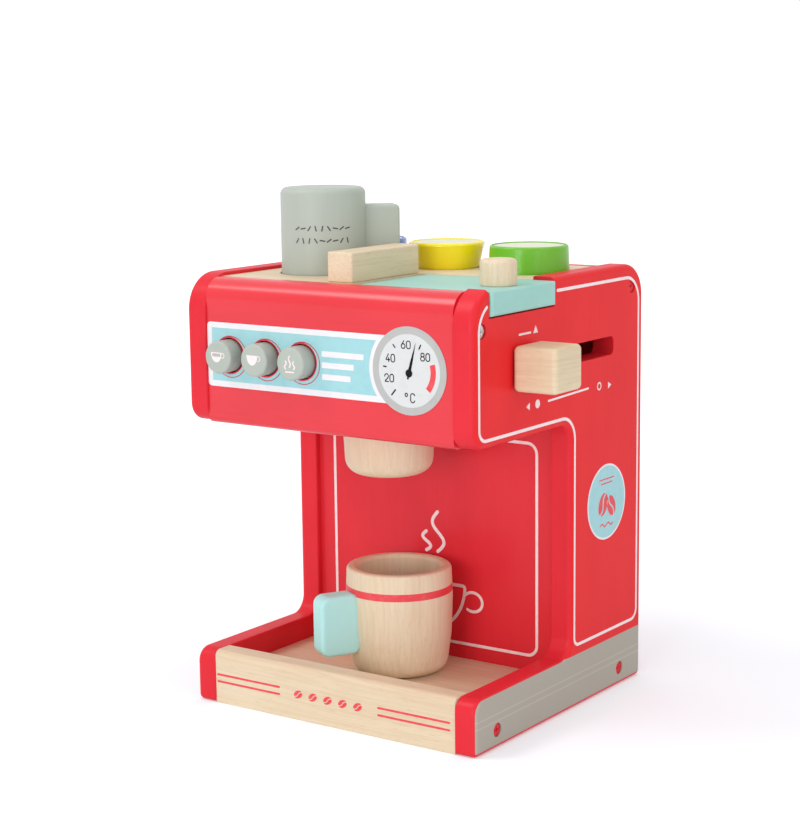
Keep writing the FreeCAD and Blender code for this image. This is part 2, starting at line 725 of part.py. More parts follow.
def spring(label, centre_x):
    """A coil spring between a button's collar and the guide board, wound about the Y axis."""
    radius = number("spring_radius")
    wire = number("wire_radius")
    turns = int(number("spring_turns"))
    end = wire + number("spring_play")
    length = number("spring_length") - 2 * end
    start_y = -number("depth") / 2 + number("fascia_recess") + number("fascia_thickness")
    start_y = start_y + number("collar_gap") + number("collar_thickness") + end
    centre_z = number("height") - number("control_drop")
    steps = 4 * turns
    points = []
    tangents = []
    for i in range(steps + 1):
        angle = 2 * math.pi * turns * i / steps
        x = centre_x + radius * math.cos(angle)
        z = centre_z + radius * math.sin(angle)
        points.append(Vector(x, start_y + length * i / steps, z))
        pitch = length / (2 * math.pi * turns)
        heading = Vector(-radius * math.sin(angle), pitch, radius * math.cos(angle))
        tangents.append(heading.normalize())
    path = half_turn_arcs(points, tangents)
    ring = Part.Wire([Part.makeCircle(wire, points[0], tangents[0])])
    solid = path.makePipeShell([ring], True, False)
    ratio = solid.Volume / (math.pi * wire ** 2 * path.Length)
    gap = least_gap(path, turns) - 2 * wire
    print(label, "volume over section times length %.3f, least gap %.2f mm" % (ratio, gap))
    piece = doc.addObject("Part::Feature", label)
    piece.Label = label
    piece.Shape = solid
    nodes.append(piece)


def buttons():
    """Three round buttons, each with a collar and stem behind the front board and a spring."""
    for i, name in enumerate(BUTTONS):
        x = button_x(i)
        cap = body(name + "_button")
        start = (x, "%s - Size.button_reach" % FASCIA_FRONT, CONTROLS)
        length = "Size.button_reach + Size.fascia_thickness + Size.collar_gap"
        cylinder(cap, "Cap", "Size.button_radius", length, start, ALONG_Y)
        face = -number("depth") / 2 + number("fascia_recess") - number("button_reach")
        soften(cap, "FaceRound", "Size.button_round", lambda edge: on_plane(edge, 1, face))

        collar = body(name + "_collar")
        seat = (x, COLLAR_FRONT, CONTROLS)
        cylinder(collar, "Collar", "Size.collar_radius", "Size.collar_thickness", seat, ALONG_Y)
        reach = "Size.collar_thickness + Size.spring_length + Size.guide_thickness"
        cylinder(collar, "Stem", "Size.stem_radius", reach, seat, ALONG_Y)
        centre = -number("width") / 2 + number("first_button") + i * number("button_pitch")
        spring(name + "_spring", centre)

    guide = body("button_guide")
    first = button_x(0)
    last = button_x(len(BUTTONS) - 1)
    box(
        guide, "Board", (first + " - Size.guide_margin", last + " + Size.guide_margin"),
        (GUIDE_FRONT, "%s + Size.guide_thickness" % GUIDE_FRONT),
        ("%s - Size.guide_height" % DECK_UNDER, DECK_UNDER),
    )
    for i in range(len(BUTTONS)):
        start = (button_x(i), GUIDE_FRONT, CONTROLS)
        cylinder(
            guide, "Bore%d" % i, "Size.stem_radius + Size.stem_play",
            "Size.guide_thickness", start, ALONG_Y, cut=True,
        )


def brew_head():
    """The turned head that hangs from the floor of the machine's head."""
    piece = body("brew_head")
    cylinder(piece, "Head", "Size.brew_radius", "Size.brew_length", ("0", BREW_Y, BREW_BOTTOM))
    bottom = number("height") - number("head_height") + number("floor_lift")
    bottom = bottom - number("brew_length")
    soften(piece, "LowerRound", "Size.brew_round", lambda edge: on_plane(edge, 2, bottom))


def mug():
    """A turned mug with a slab grip glued to its side."""
    cup = body("mug_cup")
    points = [
        ("0", "0"),
        ("Size.mug_base", "0"),
        ("Size.mug_radius", "Size.mug_belly"),
        ("Size.mug_rim", "Size.mug_height"),
        ("Size.mug_rim - Size.mug_wall", "Size.mug_height"),
        ("Size.mug_radius - Size.mug_wall", "Size.mug_belly"),
        ("Size.mug_base - Size.mug_wall", "Size.mug_floor"),
        ("0", "Size.mug_floor"),
    ]
    turned(cup, "Cup", points, ("0", MUG_Y, "Size.tray_top"))
    foot = number("tray_top")
    rim = foot + number("mug_height")
    well = foot + number("mug_floor")
    soften(cup, "FootRound", "Size.mug_foot_round", lambda edge: on_plane(edge, 2, foot))
    soften(cup, "RimRound", "Size.mug_rim_round", lambda edge: on_plane(edge, 2, rim))
    soften(cup, "WellRound", "Size.mug_well_round", lambda edge: on_plane(edge, 2, well))

    grip = body("mug_handle")
    half = "Size.grip_thickness / 2"
    box(
        grip, "Grip", ("Size.mug_base / 2", "Size.mug_radius + Size.grip_reach"),
        ("-" + half, half), ("Size.grip_bottom", "Size.grip_bottom + Size.grip_height"),
    )
    soften(grip, "Round", "Size.grip_round", lambda edge: True)
    shoulder = grip.newObject("PartDesign::SubtractiveCone", "Body")
    bind(shoulder, Radius1="Size.mug_base", Radius2="Size.mug_radius", Height="Size.mug_belly")
    doc.recompute()
    neck = grip.newObject("PartDesign::SubtractiveCone", "Neck")
    bind(neck, Radius1="Size.mug_radius", Radius2="Size.mug_rim", z="Size.mug_belly")
    bind(neck, Height="Size.mug_height - Size.mug_belly")
    doc.recompute()
    grip.Placement = FreeCAD.Placement(Vector(), FreeCAD.Rotation(Vector(0, 0, 1), 1))
    grip.setExpression("Placement.Rotation.Angle", "Size.mug_angle")
    bind(grip, x="0", y=MUG_Y, z="Size.tray_top")
    doc.recompute()


def shaker():
    """A solid shaker with a slab grip, standing in its seat on the deck."""
    can = body("shaker_body")
    centre = ("-Size.shaker_left", SHAKER_Y, SEAT)
    cylinder(can, "Body", "Size.shaker_radius", "Size.shaker_height", centre)
    top = number("height") - number("deck_drop") - number("seat_depth") + number("shaker_height")
    soften(can, "TopRound", "Size.shaker_round", lambda edge: on_plane(edge, 2, top))

    grip = body("shaker_handle")
    half = "Size.grip_thickness / 2"
    low = "Size.shaker_grip_bottom"
    box(
        grip, "Grip", ("Size.shaker_radius / 2", "Size.shaker_radius + Size.grip_reach"),
        ("-" + half, half), (low, low + " + Size.shaker_grip_height"),
    )
    soften(grip, "Round", "Size.grip_round", lambda edge: True)
    cylinder(grip, "Body", "Size.shaker_radius", "Size.shaker_height", ("0", "0", "0"), cut=True)
    grip.Placement = FreeCAD.Placement(Vector(), FreeCAD.Rotation(Vector(0, 0, 1), 1))
    grip.setExpression("Placement.Rotation.Angle", "Size.shaker_angle")
    bind(grip, x="-Size.shaker_left", y=SHAKER_Y, z=SEAT)
    doc.recompute()


def pods():
    """Three coffee pods in their seats, each with a thin pale lid let into its top."""
    for colour, place in PODS.items():
        base = "Size.pod_base" if colour == "yellow" else "Size.pod_radius"
        shell = body(colour + "_pod")
        inset = "Size.pod_radius - Size.pod_rim"
        points = [
            ("0", "0"),
            (base, "0"),
            ("Size.pod_radius", "Size.pod_height"),
            (inset, "Size.pod_height"),
            (inset, "Size.pod_height - Size.pod_recess"),
            ("0", "Size.pod_height - Size.pod_recess"),
        ]
        centre = ("%d * %s" % (place, POD_PITCH), POD_ROW, SEAT)
        turned(shell, "Pod", points, centre)
        seat = number("height") - number("deck_drop") - number("seat_depth")
        top = seat + number("pod_height")
        wide = 2 * number("pod_radius")
        soften(
            shell, "RimRound", "min(Size.pod_round; %s * Size.pod_rim)" % RIM_SHARE,
            lambda edge: on_plane(edge, 2, top) and same(edge.BoundBox.XLength, wide),
        )
        cover = body(colour + "_pod_lid")
        under = "%s + Size.pod_height - Size.pod_recess" % SEAT
        cylinder(cover, "Lid", inset, "Size.pod_lid_thickness", (centre[0], centre[1], under))


carcass()
screws()
lid()
lever()
buttons()
brew_head()
mug()
shaker()
pods()
doc.recompute()

for item in doc.Objects:
    if "Invalid" in item.State or "Error" in item.State:
        raise RuntimeError("%s did not compute: %s" % (item.Label, item.State))
for node in nodes:
    if node.Shape.isNull() or not node.Shape.isValid():
        raise RuntimeError("%s has no valid shape" % node.Label)

os.makedirs("parts", exist_ok=True)
for node in nodes:
    node.Shape.exportStep("parts/%s.step" % node.Label)
    print(node.Label, len(node.Shape.Solids), "solids, volume %.1f" % node.Shape.Volume)
print(len(nodes), "nodes written")
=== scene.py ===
# %% [markdown]
# # A wooden toy coffee maker
# The construction comes as a fixed frame of named pieces, in metres. This file gives each of them
# its finish, replaces the turned and sanded pieces by smoother surfaces, and adds what is printed
# on the boards. The frame is loaded first, because every place below is read from it.

# %% Load the frame
import json
import math

import bmesh
import bpy
import numpy as np
from mathutils import Matrix, Vector


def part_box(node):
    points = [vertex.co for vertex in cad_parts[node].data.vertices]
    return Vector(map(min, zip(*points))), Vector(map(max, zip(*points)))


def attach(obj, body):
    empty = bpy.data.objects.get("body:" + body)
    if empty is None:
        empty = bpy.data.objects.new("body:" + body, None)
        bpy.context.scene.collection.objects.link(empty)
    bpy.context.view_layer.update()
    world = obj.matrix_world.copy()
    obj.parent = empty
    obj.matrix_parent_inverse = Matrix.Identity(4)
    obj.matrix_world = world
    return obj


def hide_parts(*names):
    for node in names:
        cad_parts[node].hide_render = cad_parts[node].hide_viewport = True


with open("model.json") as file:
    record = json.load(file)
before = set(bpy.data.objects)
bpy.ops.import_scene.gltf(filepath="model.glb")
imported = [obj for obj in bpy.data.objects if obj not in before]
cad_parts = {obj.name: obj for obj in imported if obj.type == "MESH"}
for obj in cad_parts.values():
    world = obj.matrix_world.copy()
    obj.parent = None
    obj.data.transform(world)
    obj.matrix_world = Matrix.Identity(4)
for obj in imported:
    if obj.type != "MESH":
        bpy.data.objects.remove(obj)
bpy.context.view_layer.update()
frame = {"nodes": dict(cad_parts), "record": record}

MM = 0.001
scene = bpy.context.scene
BUTTON_NAMES = ("full_cup", "half_cup", "steam")


def corners(piece):
    """The lowest and highest corner of a piece of the frame, in millimetres."""
    low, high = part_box(piece)
    return np.array(low) / MM, np.array(high) / MM


def middle(piece):
    """The middle of a piece's box: halfway between its two corners."""
    low, high = corners(piece)
    return (low + high) / 2


def size_of(piece):
    """The radius and the height of an upright round piece: half its width, and its height."""
    low, high = corners(piece)
    return (high[0] - low[0]) / 2, high[2] - low[2]


panel_low, panel_high = corners("right_side_panel")
SIDE, BACK, TOP = panel_high
FRONT = panel_low[1]
FASCIA, RAIL, WALL = (corners(board)[0][1] for board in ("front_fascia", "front_rail", "back_wall"))
print("pieces in the frame:", len(frame["nodes"]))
print("side face x %.1f, front board y %.1f, rail y %.1f mm" % (SIDE, FASCIA, RAIL))

# %% [markdown]
# ## Camera
# A product photo is taken from a few paces away with a long lens, so the edges of the toy stay
# almost parallel. The camera is aimed by three turns: to the left, down, and a slight roll. Its
# axes are written as a matrix, which avoids guessing the order of the turns.

# %% The camera
CAMERA_PLACE = (0.614289, -0.891086, 0.342185)
CAMERA_TURNS = (35.171, 9.786, -0.692)
CAMERA_LENS = 84.407
SENSOR = 36


def aim(turn, down, roll):
    """The matrix whose columns are the camera's right, up and backward directions.

    Ahead is the Y axis turned left and lowered, right is level, and up is their cross product.
    The roll then mixes right and up by its cosine and sine."""
    turn, down, roll = (math.radians(angle) for angle in (turn, down, roll))
    level = math.cos(down)
    ahead = Vector((-math.sin(turn) * level, math.cos(turn) * level, -math.sin(down)))
    right = Vector((math.cos(turn), math.sin(turn), 0))
    up = right.cross(ahead)
    side = right * math.cos(roll) + up * math.sin(roll)
    rise = up * math.cos(roll) - right * math.sin(roll)
    return Matrix((side, rise, -ahead)).transposed().to_4x4()


camera_data = bpy.data.cameras.new("camera")
camera_data.lens = CAMERA_LENS
camera_data.sensor_width = SENSOR
camera = bpy.data.objects.new("camera", camera_data)
camera.matrix_world = Matrix.Translation(CAMERA_PLACE) @ aim(*CAMERA_TURNS)
scene.collection.objects.link(camera)
scene.camera = camera
scene.view_settings.view_transform = "Standard"
print("the camera is %.2f m away, with a %.0f mm lens" % (Vector(CAMERA_PLACE).length, CAMERA_LENS))

# %% [markdown]
# ## Colours
# A given colour is an sRGB colour, and a shader wants linear light. One small function
# does the change, so that every paint below can be written as it looks.

# %% Colours


def paint(red, green, blue):
    """An sRGB colour, from 0 to 255, as the linear colour of a shader socket.

    Dark values are divided by 12.92, and the others follow a power of 2.4."""
    shade = np.array([red, green, blue]) / 255
    light = np.where(shade <= 0.04045, shade / 12.92, ((shade + 0.055) / 1.055) ** 2.4)
    return (*light.tolist(), 1.0)


WHITE = paint(255, 255, 255)
print("middle grey as linear light: %.3f" % paint(128, 128, 128)[0])

# %% [markdown]
# ## Short words for shader nodes
# A shader is a tree of nodes, which could be wired by hand in the Shader Editor. In code each
# node takes several lines, so a few functions make a node, fill its sockets, and give the sums,
# ranges and blends that all the finishes use. Every material is kept in a list by its name.

# %% Shader helpers
LOOKS = {}


def node(tree, kind, **settings):
    """A new node with its properties set."""
    made = tree.nodes.new("ShaderNode" + kind)
    for key, value in settings.items():
        setattr(made, key, value)
    return made


def feed(tree, target, **values):
    """Fill the sockets of a node: from another socket as a link, otherwise as a value.

    A socket goes by its name, with _ for each space, or by its number after an i."""
    for key, value in values.items():
        numbered = key[0] == "i" and key[1:].isdigit()
        socket = target.inputs[int(key[1:]) if numbered else key.replace("_", " ")]
        if isinstance(value, bpy.types.NodeSocket):
            tree.links.new(value, socket)
        else:
            socket.default_value = value
    return target


def maths(tree, operation, *values):
    """The result of one sum on up to three values."""
    numbered = {"i%d" % index: value for index, value in enumerate(values)}
    return feed(tree, node(tree, "Math", operation=operation), **numbered).outputs[0]


def object_place(tree):
    """The place of a point in its piece's own coordinates."""
    return node(tree, "TexCoord").outputs["Object"]


def stretched_noise(tree, place, along, across, detail):
    """Noise with its own frequency along X and across it, in features per metre."""
    stretch = node(tree, "VectorMath", operation="MULTIPLY")
    scaled = feed(tree, stretch, i0=place, i1=(along, across, across)).outputs[0]
    noise = feed(tree, node(tree, "TexNoise"), Vector=scaled, Scale=1.0, Detail=detail)
    return noise.outputs["Fac"]


def ramp(tree, value, low, high, to_low=0.0, to_high=1.0):
    """A value taken smoothly from one range to another."""
    made = node(tree, "MapRange", interpolation_type="SMOOTHSTEP")
    return feed(tree, made, i0=value, i1=low, i2=high, i3=to_low, i4=to_high).outputs[0]


def blend(tree, amount, first, second, kind="MIX"):
    """Two colours mixed by an amount."""
    made = node(tree, "Mix", data_type="RGBA", blend_type=kind)
    return feed(tree, made, i0=amount, i6=first, i7=second).outputs[2]


def start_material(name):
    """A material with a bare Principled shader, kept in the list of looks."""
    material = bpy.data.materials.new(name)
    material.use_nodes = True
    LOOKS[name] = material
    return material.node_tree, material.node_tree.nodes["Principled BSDF"]


print("shader helpers ready, materials so far:", len(LOOKS))

# %% [markdown]
# ## Light and floor
# The light in the photo is soft and comes from everywhere, a little more from above and the left.
# A grey world gives the even part, and large lamps give the shape, because small ones would draw
# hard shadows. What the camera and the reflections see of the world is plain white, by way of the
# Light Path node. The floor glows a little more with distance, so it fades into that white.

# %% Light and floor
WORLD_LIGHT = 0.6
FLOOR_FADE = (0.35, 1.5)
FLOOR_GLOW = (0.22, 0.62)
FLOOR_REACH = 6
FLOOR_SINK = 0.0001
AIM_POINT = Vector((0, 0, 0.13))
LAMPS = {
    "key": ((-1.2, -1.0, 2.1), 0.9, 15),
    "fill": ((0.25, -2.6, 0.35), 1.2, 23),
    "side": ((2.3, -0.4, 0.9), 1.2, 7),
    "edge": ((1.9, -1.3, 0.45), 0.5, 2.0),
    "top": ((0.1, 0.2, 2.2), 1.4, 9),
}


def seen_directly(tree):
    """A mask that is one for camera, glossy and transmission rays."""
    path = node(tree, "LightPath").outputs
    first = maths(tree, "MAXIMUM", path["Is Camera Ray"], path["Is Glossy Ray"])
    return maths(tree, "MAXIMUM", first, path["Is Transmission Ray"])


world = bpy.data.worlds.new("studio")
scene.world = world
world.use_nodes = True
tree = world.node_tree
tree.nodes.clear()
even = feed(tree, node(tree, "Background"), Color=WHITE, Strength=WORLD_LIGHT).outputs[0]
plain = feed(tree, node(tree, "Background"), Color=WHITE).outputs[0]
mix = feed(tree, node(tree, "MixShader"), i0=seen_directly(tree), i1=even, i2=plain)
feed(tree, node(tree, "OutputWorld"), Surface=mix.outputs[0])

for name, (place, width, watts) in LAMPS.items():
    lamp = bpy.data.lights.new(name, "AREA")
    lamp.size = width
    lamp.energy = watts
    holder = bpy.data.objects.new(name, lamp)
    holder.location = place
    holder.rotation_euler = (AIM_POINT - Vector(place)).to_track_quat("-Z", "Y").to_euler()
    scene.collection.objects.link(holder)

floor_mesh = bpy.data.meshes.new("floor")
floor_signs = ((-1, -1), (1, -1), (1, 1), (-1, 1))
floor_corners = [(x * FLOOR_REACH, y * FLOOR_REACH, -FLOOR_SINK) for x, y in floor_signs]
floor_mesh.from_pydata(floor_corners, [], [(0, 1, 2, 3)])
floor = bpy.data.objects.new("floor", floor_mesh)
scene.collection.objects.link(floor)
tree, base = start_material("floor_paper")
feed(tree, base, Base_Color=paint(240, 245, 251), Roughness=0.9, Specular_IOR_Level=0.1)
length = feed(tree, node(tree, "VectorMath", operation="LENGTH"), i0=object_place(tree))
fade = feed(tree, node(tree, "MapRange"), i0=length.outputs["Value"])
for index, value in enumerate(FLOOR_FADE + FLOOR_GLOW, start=1):
    fade.inputs[index].default_value = value
glow = maths(tree, "MULTIPLY", seen_directly(tree), fade.outputs[0])
feed(tree, base, Emission_Color=WHITE, Emission_Strength=glow)
floor_mesh.materials.append(LOOKS["floor_paper"])
print("lamps:", ", ".join(LAMPS))

# %% [markdown]
# ## The grain of the wood
# Every piece is wood, bare or painted, so both finishes start from the same pattern: fine pores
# drawn out along the grain, and slow bands across it. A picture of wood would show its seams at
# the edges of a board, so the pattern is worked out in space. It is one node group that takes a
# place whose X runs along the grain, so a material only has to turn that place for each piece.

# %% The grain group
GRAIN_WANDER = 0.012
GRAIN_LAYERS = {  # frequency along and across the grain, detail, and the range that is kept
    "Bands": (4, 95, 3, 0.35, 0.68),
    "Streaks": (14, 620, 3, 0.36, 0.7),
    "Pores": (130, 2300, 2, 0.6, 0.72),
}


def group(name, inputs, outputs):
    """An empty node group with named sockets, and its two end nodes."""
    tree = bpy.data.node_groups.new(name, "ShaderNodeTree")
    for label, kind, value in inputs:
        socket = tree.interface.new_socket(label, in_out="INPUT", socket_type="NodeSocket" + kind)
        if value is not None:
            socket.default_value = value
    for label, kind in outputs:
        tree.interface.new_socket(label, in_out="OUTPUT", socket_type="NodeSocket" + kind)
    return tree, tree.nodes.new("NodeGroupInput").outputs, tree.nodes.new("NodeGroupOutput")


PLACE = ("Place", "Vector", None)
SKIN = [("Colour", "Color"), ("Roughness", "Float"), ("Normal", "Vector")]
tree, given, result = group(
    "grain", [PLACE], [(label, "Float") for label in ("Bands", "Streaks", "Pores", "Height")],
)
grain_group = tree
wander = stretched_noise(tree, given["Place"], 5, 18, 2)
shift = feed(tree, node(tree, "CombineXYZ"), X=0.0, Y=wander, Z=wander).outputs[0]
bend = node(tree, "VectorMath", operation="MULTIPLY_ADD")
feed(tree, bend, i0=shift, i1=(0.0, GRAIN_WANDER, GRAIN_WANDER), i2=given["Place"])
layers = {}
for label, (along, across, detail, low, high) in GRAIN_LAYERS.items():
    noise = stretched_noise(tree, bend.outputs[0], along, across, detail)
    layers[label] = ramp(tree, noise, low, high)
height = maths(tree, "MULTIPLY_ADD", layers["Pores"], -1.0, layers["Streaks"])
feed(tree, result, Height=height, **layers)
print("nodes in the grain:", len(tree.nodes))

# %% [markdown]
# ## Bare wood
# Bare rubberwood is pale straw, warmer in its slow bands, with thin brown pores. The clear coat
# over it leaves a low, even sheen. The colour goes out of the group, and the shader itself stays
# in the material.

# %% The bare wood group
BAND_AMOUNT, PORE_AMOUNT = 0.5, 0.42
tree, given, result = group(
    "bare_wood",
    [
        PLACE, ("Pale", "Color", WHITE), ("Warm", "Color", WHITE), ("Pore", "Color", WHITE),
        ("Relief", "Float", 0.2), ("Figure", "Float", 0.28),
    ],
    SKIN,
)
wood_group = tree
grain = feed(tree, node(tree, "Group", node_tree=grain_group), Place=given["Place"]).outputs
cloud = ramp(tree, stretched_noise(tree, given["Place"], 12, 25, 2), 0.3, 0.7, 0.0, 0.45)
colour = blend(tree, cloud, given["Pale"], given["Warm"])
for layer, amount, shade in (
    ("Bands", BAND_AMOUNT, "Warm"),
    ("Streaks", given["Figure"], "Pore"),
    ("Pores", PORE_AMOUNT, "Pore"),
):
    colour = blend(tree, maths(tree, "MULTIPLY", grain[layer], amount), colour, given[shade])
rough = ramp(tree, grain["Height"], -1.0, 1.0, 0.58, 0.46)
bump = node(tree, "Bump")
feed(tree, bump, Strength=given["Relief"], Distance=0.00025, Height=grain["Height"])
feed(tree, result, Colour=colour, Roughness=rough, Normal=bump.outputs[0])
print("nodes in the bare wood:", len(tree.nodes))

# %% [markdown]
# ## Paint on wood
# Paint on wood is nearly flat, but not quite: the grain still shows as faint relief, the sprayed
# skin has a fine ripple, and its colour is a touch deeper where it lies thicker. The edges get a
# painted highlight: the Bevel node gives the normal of a softened edge, and where that leaves the
# true normal the paint is painted lighter, which costs no extra faces.

# %% The paint group
EDGE_RADIUS = 0.0011
# The colour of the painted highlight that the edges are mixed towards.
PAINTED_EDGE_HIGHLIGHT = (1.0, 0.86, 0.84, 1.0)
RIPPLE = 420
tree, given, result = group(
    "paint_skin",
    [
        PLACE, ("Paint", "Color", WHITE), ("Deep", "Color", WHITE),
        ("Sheen", "Float", 0.4), ("Relief", "Float", 0.1),
    ],
    SKIN,
)
paint_group = tree
grain = feed(tree, node(tree, "Group", node_tree=grain_group), Place=given["Place"]).outputs
thick = ramp(tree, stretched_noise(tree, given["Place"], 16, 40, 3), 0.3, 0.75, 0.0, 0.5)
streaked = maths(tree, "MULTIPLY_ADD", grain["Streaks"], 0.1, thick)
colour = blend(tree, streaked, given["Paint"], given["Deep"])
softened = feed(tree, node(tree, "Bevel", samples=4), Radius=EDGE_RADIUS).outputs[0]
true_side = node(tree, "NewGeometry").outputs["Normal"]
agree = feed(tree, node(tree, "VectorMath", operation="DOT_PRODUCT"), i0=softened, i1=true_side)
# A painted highlight: where the softened normal leaves the true one, the paint is mixed lighter.
edge = ramp(tree, agree.outputs["Value"], 0.97, 0.72, 0.0, 0.3)
colour = blend(tree, edge, colour, PAINTED_EDGE_HIGHLIGHT, "SOFT_LIGHT")
ripple = stretched_noise(tree, given["Place"], RIPPLE, RIPPLE, 1)
skin = maths(tree, "MULTIPLY_ADD", grain["Height"], 0.16, ripple)
bump = feed(tree, node(tree, "Bump"), Strength=given["Relief"], Distance=0.0002, Height=skin)
rough = maths(tree, "MULTIPLY_ADD", ripple, 0.08, given["Sheen"])
feed(tree, result, Colour=colour, Roughness=rough, Normal=bump.outputs[0])
print("nodes in the paint:", len(tree.nodes))

# %% [markdown]
# ## The materials
# One function makes a bare wood and one a painted wood, for grain along X, Y or Z. The turn of
# the grain is a Mapping node on Object coordinates, so the pattern is solid, like real wood. The
# lever's block shows thin layers, so its grain is squeezed along Y.

# %% Material makers
GRAIN_TURN = {
    "X": (0, 0, 0), "Y": (0, 0, -math.pi / 2), "Z": (0, math.pi / 2, 0), "layers": (0, 0, 0),
}
LAYER_SCALE = (1, 0.03, 1)
PALE, WARM, PORE = (233, 216, 188), (223, 199, 166), (204, 170, 130)
SHINE_COAT, SATIN_COAT = 0.12, 0.24


def grained_place(tree, along):
    """Object coordinates turned so that X runs along the grain."""
    scale = LAYER_SCALE if along == "layers" else (1, 1, 1)
    turned = node(tree, "Mapping")
    feed(tree, turned, Vector=object_place(tree), Rotation=GRAIN_TURN[along], Scale=scale)
    return turned.outputs[0]


def dress(tree, surface, finish_group, **values):
    """Place a finish group, and join its colour, roughness and normal to the shader."""
    skin = feed(tree, node(tree, "Group", node_tree=finish_group), **values).outputs
    feed(tree, surface, Base_Color=skin["Colour"], Roughness=skin["Roughness"])
    feed(tree, surface, Normal=skin["Normal"])


def bare_wood(name, along, pale=PALE, warm=WARM, pore=PORE, relief=0.3, figure=0.26):
    """Clear-coated wood with its grain along one axis."""
    tree, surface = start_material(name)
    dress(
        tree, surface, wood_group, Place=grained_place(tree, along), Pale=paint(*pale),
        Warm=paint(*warm), Pore=paint(*pore), Relief=relief, Figure=figure,
    )
    feed(tree, surface, Specular_IOR_Level=0.35)


def painted_wood(name, along, colour, deep, sheen, relief, coat=0.0, gloss=0.32):
    """Paint on wood with its grain along one axis, under a clear coat where it has one."""
    tree, surface = start_material(name)
    dress(
        tree, surface, paint_group, Place=grained_place(tree, along), Paint=paint(*colour),
        Deep=paint(*deep), Sheen=sheen, Relief=relief,
    )
    coat_roughness = SHINE_COAT if gloss > 0.1 else SATIN_COAT
    feed(tree, surface, Specular_IOR_Level=gloss, Coat_Weight=coat, Coat_Roughness=coat_roughness)


print("grain runs:", ", ".join(GRAIN_TURN))

# %% [markdown]
# ## Paints and woods
# The toy has two reds that look alike, aqua, a warm grey, three bright pod colours and an ivory
# white. Each could be a material of its own, made by hand. A table keeps them side by side, so
# that one colour can be set against another.

# %% Paints and woods
RED, RED_DEEP = (229, 48, 60), (216, 38, 50)
PAINTS = {  # grain, colour, colour where it is thick, sheen, relief, coat and gloss
    "red_across": ("X", (229, 43, 56), (217, 34, 46), 0.42, 0.25, 0.9, 0.05),
    "red_upright": ("Z", RED, RED_DEEP, 0.42, 0.25, 0.3, 0.08),
    "aqua": ("X", (162, 212, 203), (149, 201, 192), 0.4, 0.15),
    # The grip's aqua is a lighter copy of the lid's aqua: painted light on the grip's lit face.
    "aqua_grip": ("Z", (184, 232, 230), (172, 222, 219), 0.4, 0.15),
    "grey": ("Z", (180, 187, 177), (170, 178, 168), 0.38, 0.12),
    "blue": ("Z", (92, 124, 196), (78, 108, 182), 0.2, 0.1, 0.5),
    "yellow": ("Z", (252, 230, 30), (246, 218, 24), 0.2, 0.1, 0.5),
    "green": ("Z", (112, 190, 40), (102, 180, 34), 0.3, 0.1, 0.2),
    "white": ("Z", (230, 230, 210), (222, 223, 202), 0.45, 0.1),
}
for name, values in PAINTS.items():
    painted_wood(name, *values)
bare_wood("wood_across", "X")
bare_wood("wood_deep", "Y")
bare_wood("wood_upright", "Z", PALE, (226, 199, 166), (200, 168, 134), 0.2, 0.2)
bare_wood("wood_layers", "layers", (234, 218, 184))
print("finishes so far:", ", ".join(LOOKS))

# %% [markdown]
# ## The side panels
# Both side panels carry a grey band along the foot. It is paint on the same board, so it belongs
# in the panel's material: a mask on Object coordinates picks the outer face below the band's top,
# and two thin lines in it are a little lighter. A second mask paints the outer face in a lit copy
# of the red, brighter and deeper than the panel's edges, which is painted light.

# %% The side panels' paint
# The outer face's red is a lit copy of the panel red: painted light for how that face is lit.
LIT_OUTER_RED, LIT_OUTER_RED_DEEP = paint(238, 42, 46), paint(228, 33, 38)
BAND_TOP, BAND_BOTTOM = 30.0, 2.2
OUTER_SKIN = 0.9
BAND_LINES, BAND_LINE_WIDTH = (18.7, 14.9), 0.9
BAND_GREY, BAND_LINE = paint(178, 171, 159), paint(188, 182, 170)
SHARP, SOFT = 0.00006, 0.0004


def above(tree, value, edge, blur=SHARP):
    """A mask that is one where a value is over an edge in millimetres; its blur is in metres."""
    return ramp(tree, value, edge * MM - blur, edge * MM + blur)


def times(tree, first, second):
    """The product of two masks."""
    return maths(tree, "MULTIPLY", first, second)


tree, surface = start_material("panel_red")
axes = feed(tree, node(tree, "SeparateXYZ"), Vector=object_place(tree)).outputs
outer = maths(tree, "ABSOLUTE", axes["X"])
down = maths(tree, "MULTIPLY", axes["Z"], -1.0)
band = times(tree, above(tree, outer, SIDE - OUTER_SKIN), above(tree, down, -BAND_TOP))
band = times(tree, band, above(tree, axes["Z"], BAND_BOTTOM))
band_colour = BAND_GREY
for height in BAND_LINES:
    over = above(tree, axes["Z"], height - BAND_LINE_WIDTH / 2)
    under = above(tree, down, -(height + BAND_LINE_WIDTH / 2))
    band_colour = blend(tree, times(tree, over, under), band_colour, BAND_LINE)
# The outer face takes the lit copy of the red here, as painted light.
face = above(tree, outer, SIDE - OUTER_SKIN, SOFT)
reds = [
    blend(tree, band, blend(tree, face, paint(*board), side), band_colour)
    for board, side in ((RED, LIT_OUTER_RED), (RED_DEEP, LIT_OUTER_RED_DEEP))
]
place = grained_place(tree, "Z")
dress(tree, surface, paint_group, Place=place, Paint=reds[0], Deep=reds[1], Sheen=0.42, Relief=0.25)
feed(tree, surface, Specular_IOR_Level=0.05, Coat_Weight=0.18, Coat_Roughness=0.28)
print("the band reaches from %.1f to %.1f mm" % (BAND_BOTTOM, BAND_TOP))

# %% [markdown]
# ## Metal and inks
# Metal and inks are simpler. Zinc-plated screws get a fine cloudy roughness, and an ink gets a
# little unevenness so that it does not look like a hole in the render.

